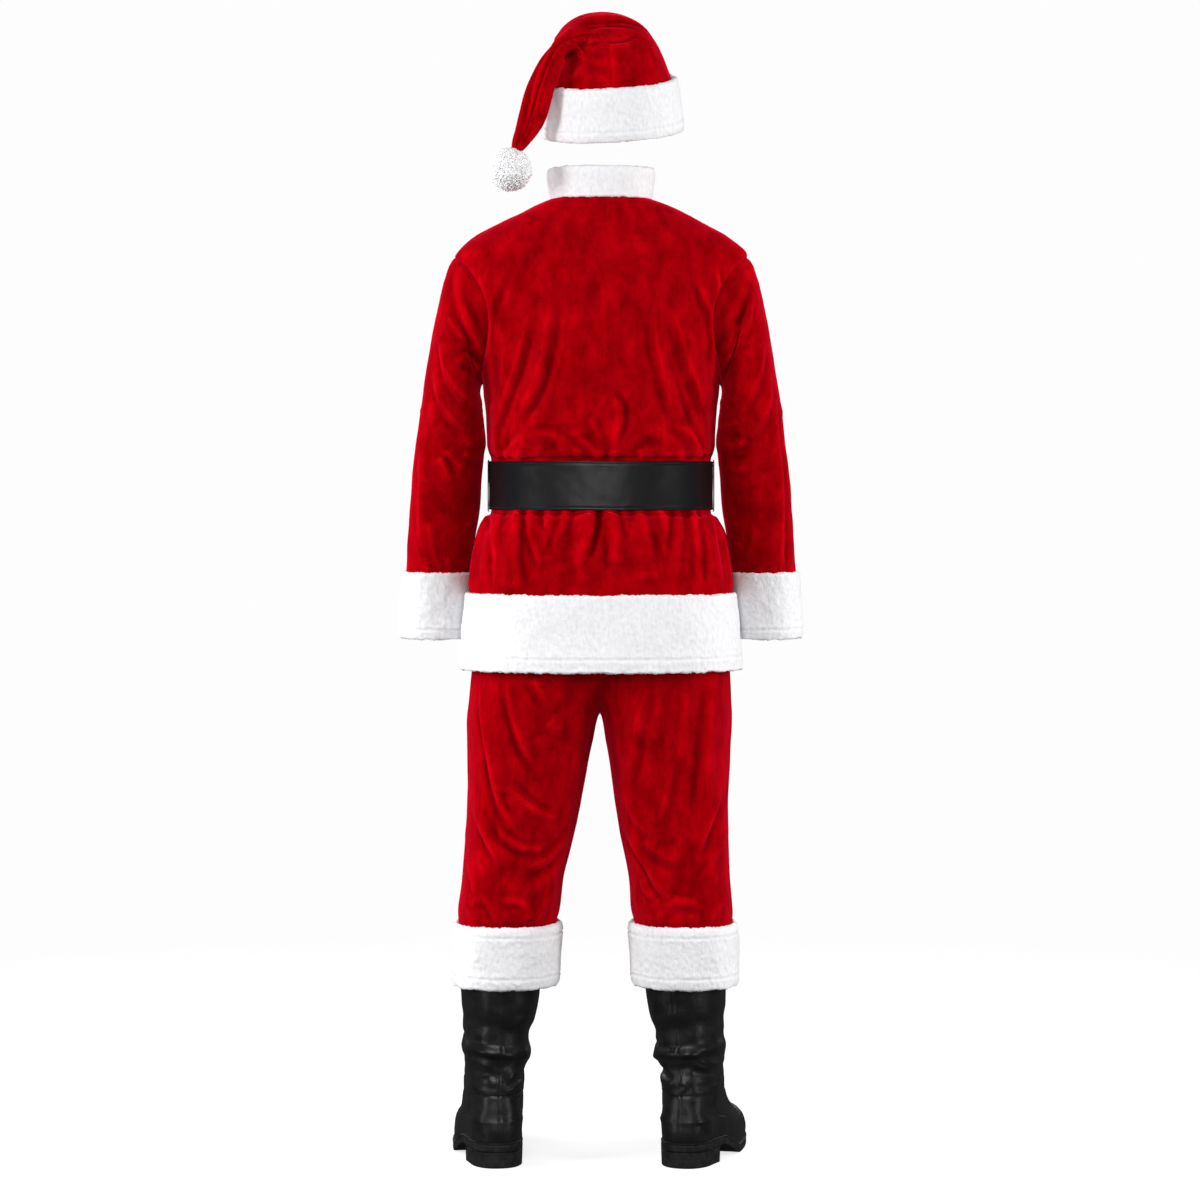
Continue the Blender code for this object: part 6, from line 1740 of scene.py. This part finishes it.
HEEL_LINES = (0.0062, 0.0124, 0.0186)
for side, mirror, stand, toe_out, _ in BOOTS:
    turns = np.arange(0, 360, 2.0)
    edge = boot_foot(turns, np.full_like(turns, len(BOOT_FOOT) - 1))
    edge[:, 2] = sole_top(edge[:, 1])
    drop = (0, 0.0001, 0.0008, 0.0018, 0.0028, 0.0034, 0.0042, 0.0060, 0.0090, 0.0120, 0.0140, 0.0148)
    grow = (0.0024, 0.0034, 0.0042, 0.0043, 0.0038, 0.0029, 0.0034, 0.0036, 0.0036, 0.0036, 0.0035, 0.0031)
    grid = stood(slab(edge, drop, grow), mirror, stand, toe_out)
    out = ways(grid)
    rough = rumple(grid, (0.03, 0.0003), (0.006, 0.0002)) * (np.abs(out[..., 2]) < 0.7)
    grid += out * rough[..., None]
    piece = make_piece(f"boot_sole_{side}_rubber", grid, rubber, around=True)
    stands_for(piece, "black_rubber", f"boot_sole_{side}")

    places = edge + (edge - edge.mean(axis=0)) * (1, 1, 0) * 0.026
    run = run_along(places)
    at = np.arange(0, run[-1], WELT_STITCH_GAP)
    places = np.stack([np.interp(at, run, places[:, k]) for k in range(3)], -1) + (0, 0, 0.0002)
    places = stood(places[None], mirror, stand, toe_out)[0]
    along = unit(np.gradient(places, axis=0))
    out = np.broadcast_to(np.array((0, 0, 1.0)), along.shape)
    piece = stitches(f"welt_stitches_{side}", places, along, out, WELT_STITCH_LENGTH, STITCH_HALF, thread)
    stands_for(piece, "black_rubber")

    turns = np.linspace(-180, 180, 721)
    edge = boot_foot(turns, np.full_like(turns, len(BOOT_FOOT) - 1))
    edge = edge + unit((edge - edge.mean(axis=0)) * (1, 1, 0)) * SOLE_LEDGE
    edge = edge[edge[:, 1] < HEEL_START + HEEL_LENGTH][::2]
    breast = np.linspace(edge[-1], edge[0], 16)[1:-1] - (0, 0.0012, 0)
    top = HEEL_LIFT + SOLE_FRONT - SOLE_THICK - 0.0003
    edge = np.concatenate((edge, breast)) * (1, 1, 0) + (0, 0, top)
    drop, grow = [], []
    for depth in np.arange(0, top - 0.0004, 0.0008):
        share = depth / top
        groove = 0.00015 * sum(math.exp(-(((depth - line) / 0.0006) ** 2)) for line in HEEL_LINES)
        drop.append(depth)
        grow.append(-HEEL_TAPER * share - groove - 0.0004 * math.exp(-depth / 0.0005))
    drop += [top - 0.0004, top]
    grow += [-HEEL_TAPER - 0.0002, -HEEL_TAPER - 0.0009]
    grid = stood(slab(edge, drop, grow), mirror, stand, toe_out)
    piece = make_piece(f"boot_heel_{side}_rubber", grid, rubber, around=True)
    stands_for(piece, "black_rubber", f"boot_heel_{side}")

# %% [markdown]
# ## Flat cuts
# Everything sewn was once flat on a cutting table. Each cloth piece's cut is printed here: how far it
# measures across and along its own weave, and the area of its outline. Trim and waistband are folded
# double, so their sizes are those of the folded strip. The numbers are measured on the finished pieces.

# %% Flat cuts
HUNG_FROM = {
    # piece: how it is held, and what it hangs from or lies on
    "jacket_back_cloth": ("hung", ["collar_plush", "belt_strap_vinyl"]),
    "jacket_front_left_cloth": ("hung", ["collar_plush", "belt_strap_vinyl"]),
    "jacket_front_right_cloth": ("hung", ["collar_plush", "belt_strap_vinyl"]),
    "sleeve_left_cloth": ("hung", ["jacket_back_cloth", "jacket_front_left_cloth"]),
    "sleeve_right_cloth": ("hung", ["jacket_back_cloth", "jacket_front_right_cloth"]),
    "trousers_back_left_cloth": ("hung", ["waistband_cloth"]),
    "trousers_back_right_cloth": ("hung", ["waistband_cloth"]),
    "trousers_front_left_cloth": ("hung", ["waistband_cloth"]),
    "trousers_front_right_cloth": ("hung", ["waistband_cloth"]),
    "waistband_cloth": ("gathered", ["trousers_back_left_cloth", "trousers_back_right_cloth"]),
    "hat_crown_left_cloth": ("hung", ["hat_band_plush"]),
    "hat_crown_right_cloth": ("hung", ["hat_band_plush"]),
    "hat_band_plush": ("folded", ["hat_crown_left_cloth", "hat_crown_right_cloth"]),
    "hem_band_plush": ("folded", ["jacket_back_cloth"]),
    "front_band_plush": ("folded", ["jacket_front_left_cloth", "jacket_front_right_cloth"]),
    "collar_plush": ("folded", ["jacket_back_cloth"]),
    "sleeve_cuff_left_plush": ("folded", ["sleeve_left_cloth"]),
    "sleeve_cuff_right_plush": ("folded", ["sleeve_right_cloth"]),
    "leg_cuff_left_plush": ("folded", ["trousers_back_left_cloth"]),
    "leg_cuff_right_plush": ("folded", ["trousers_back_right_cloth"]),
}
for piece_name, (held, hung_from) in HUNG_FROM.items():
    piece = bpy.data.objects[piece_name]
    area = sum(face.area for face in piece.data.polygons)
    across, along = cut_size[piece_name]
    if piece_name.endswith("_plush") or piece_name == "waistband_cloth":
        along, area = along / 2, area / 2
    flat = (round(across, 3), round(along, 3))
    area = round(min(area, flat[0] * flat[1]), 4)
    print(f"{piece_name}: cut {flat[0] * 1000:.0f} x {flat[1] * 1000:.0f} mm, {area:.3f} square metres")

# %% [markdown]
# ## Triangles
# The finished suit has to be as big as the frame it was built on. The triangles of all the pieces made
# here are added up and printed.

# %% Triangles in all
print("triangles in all:", sum(made_triangles.values()))
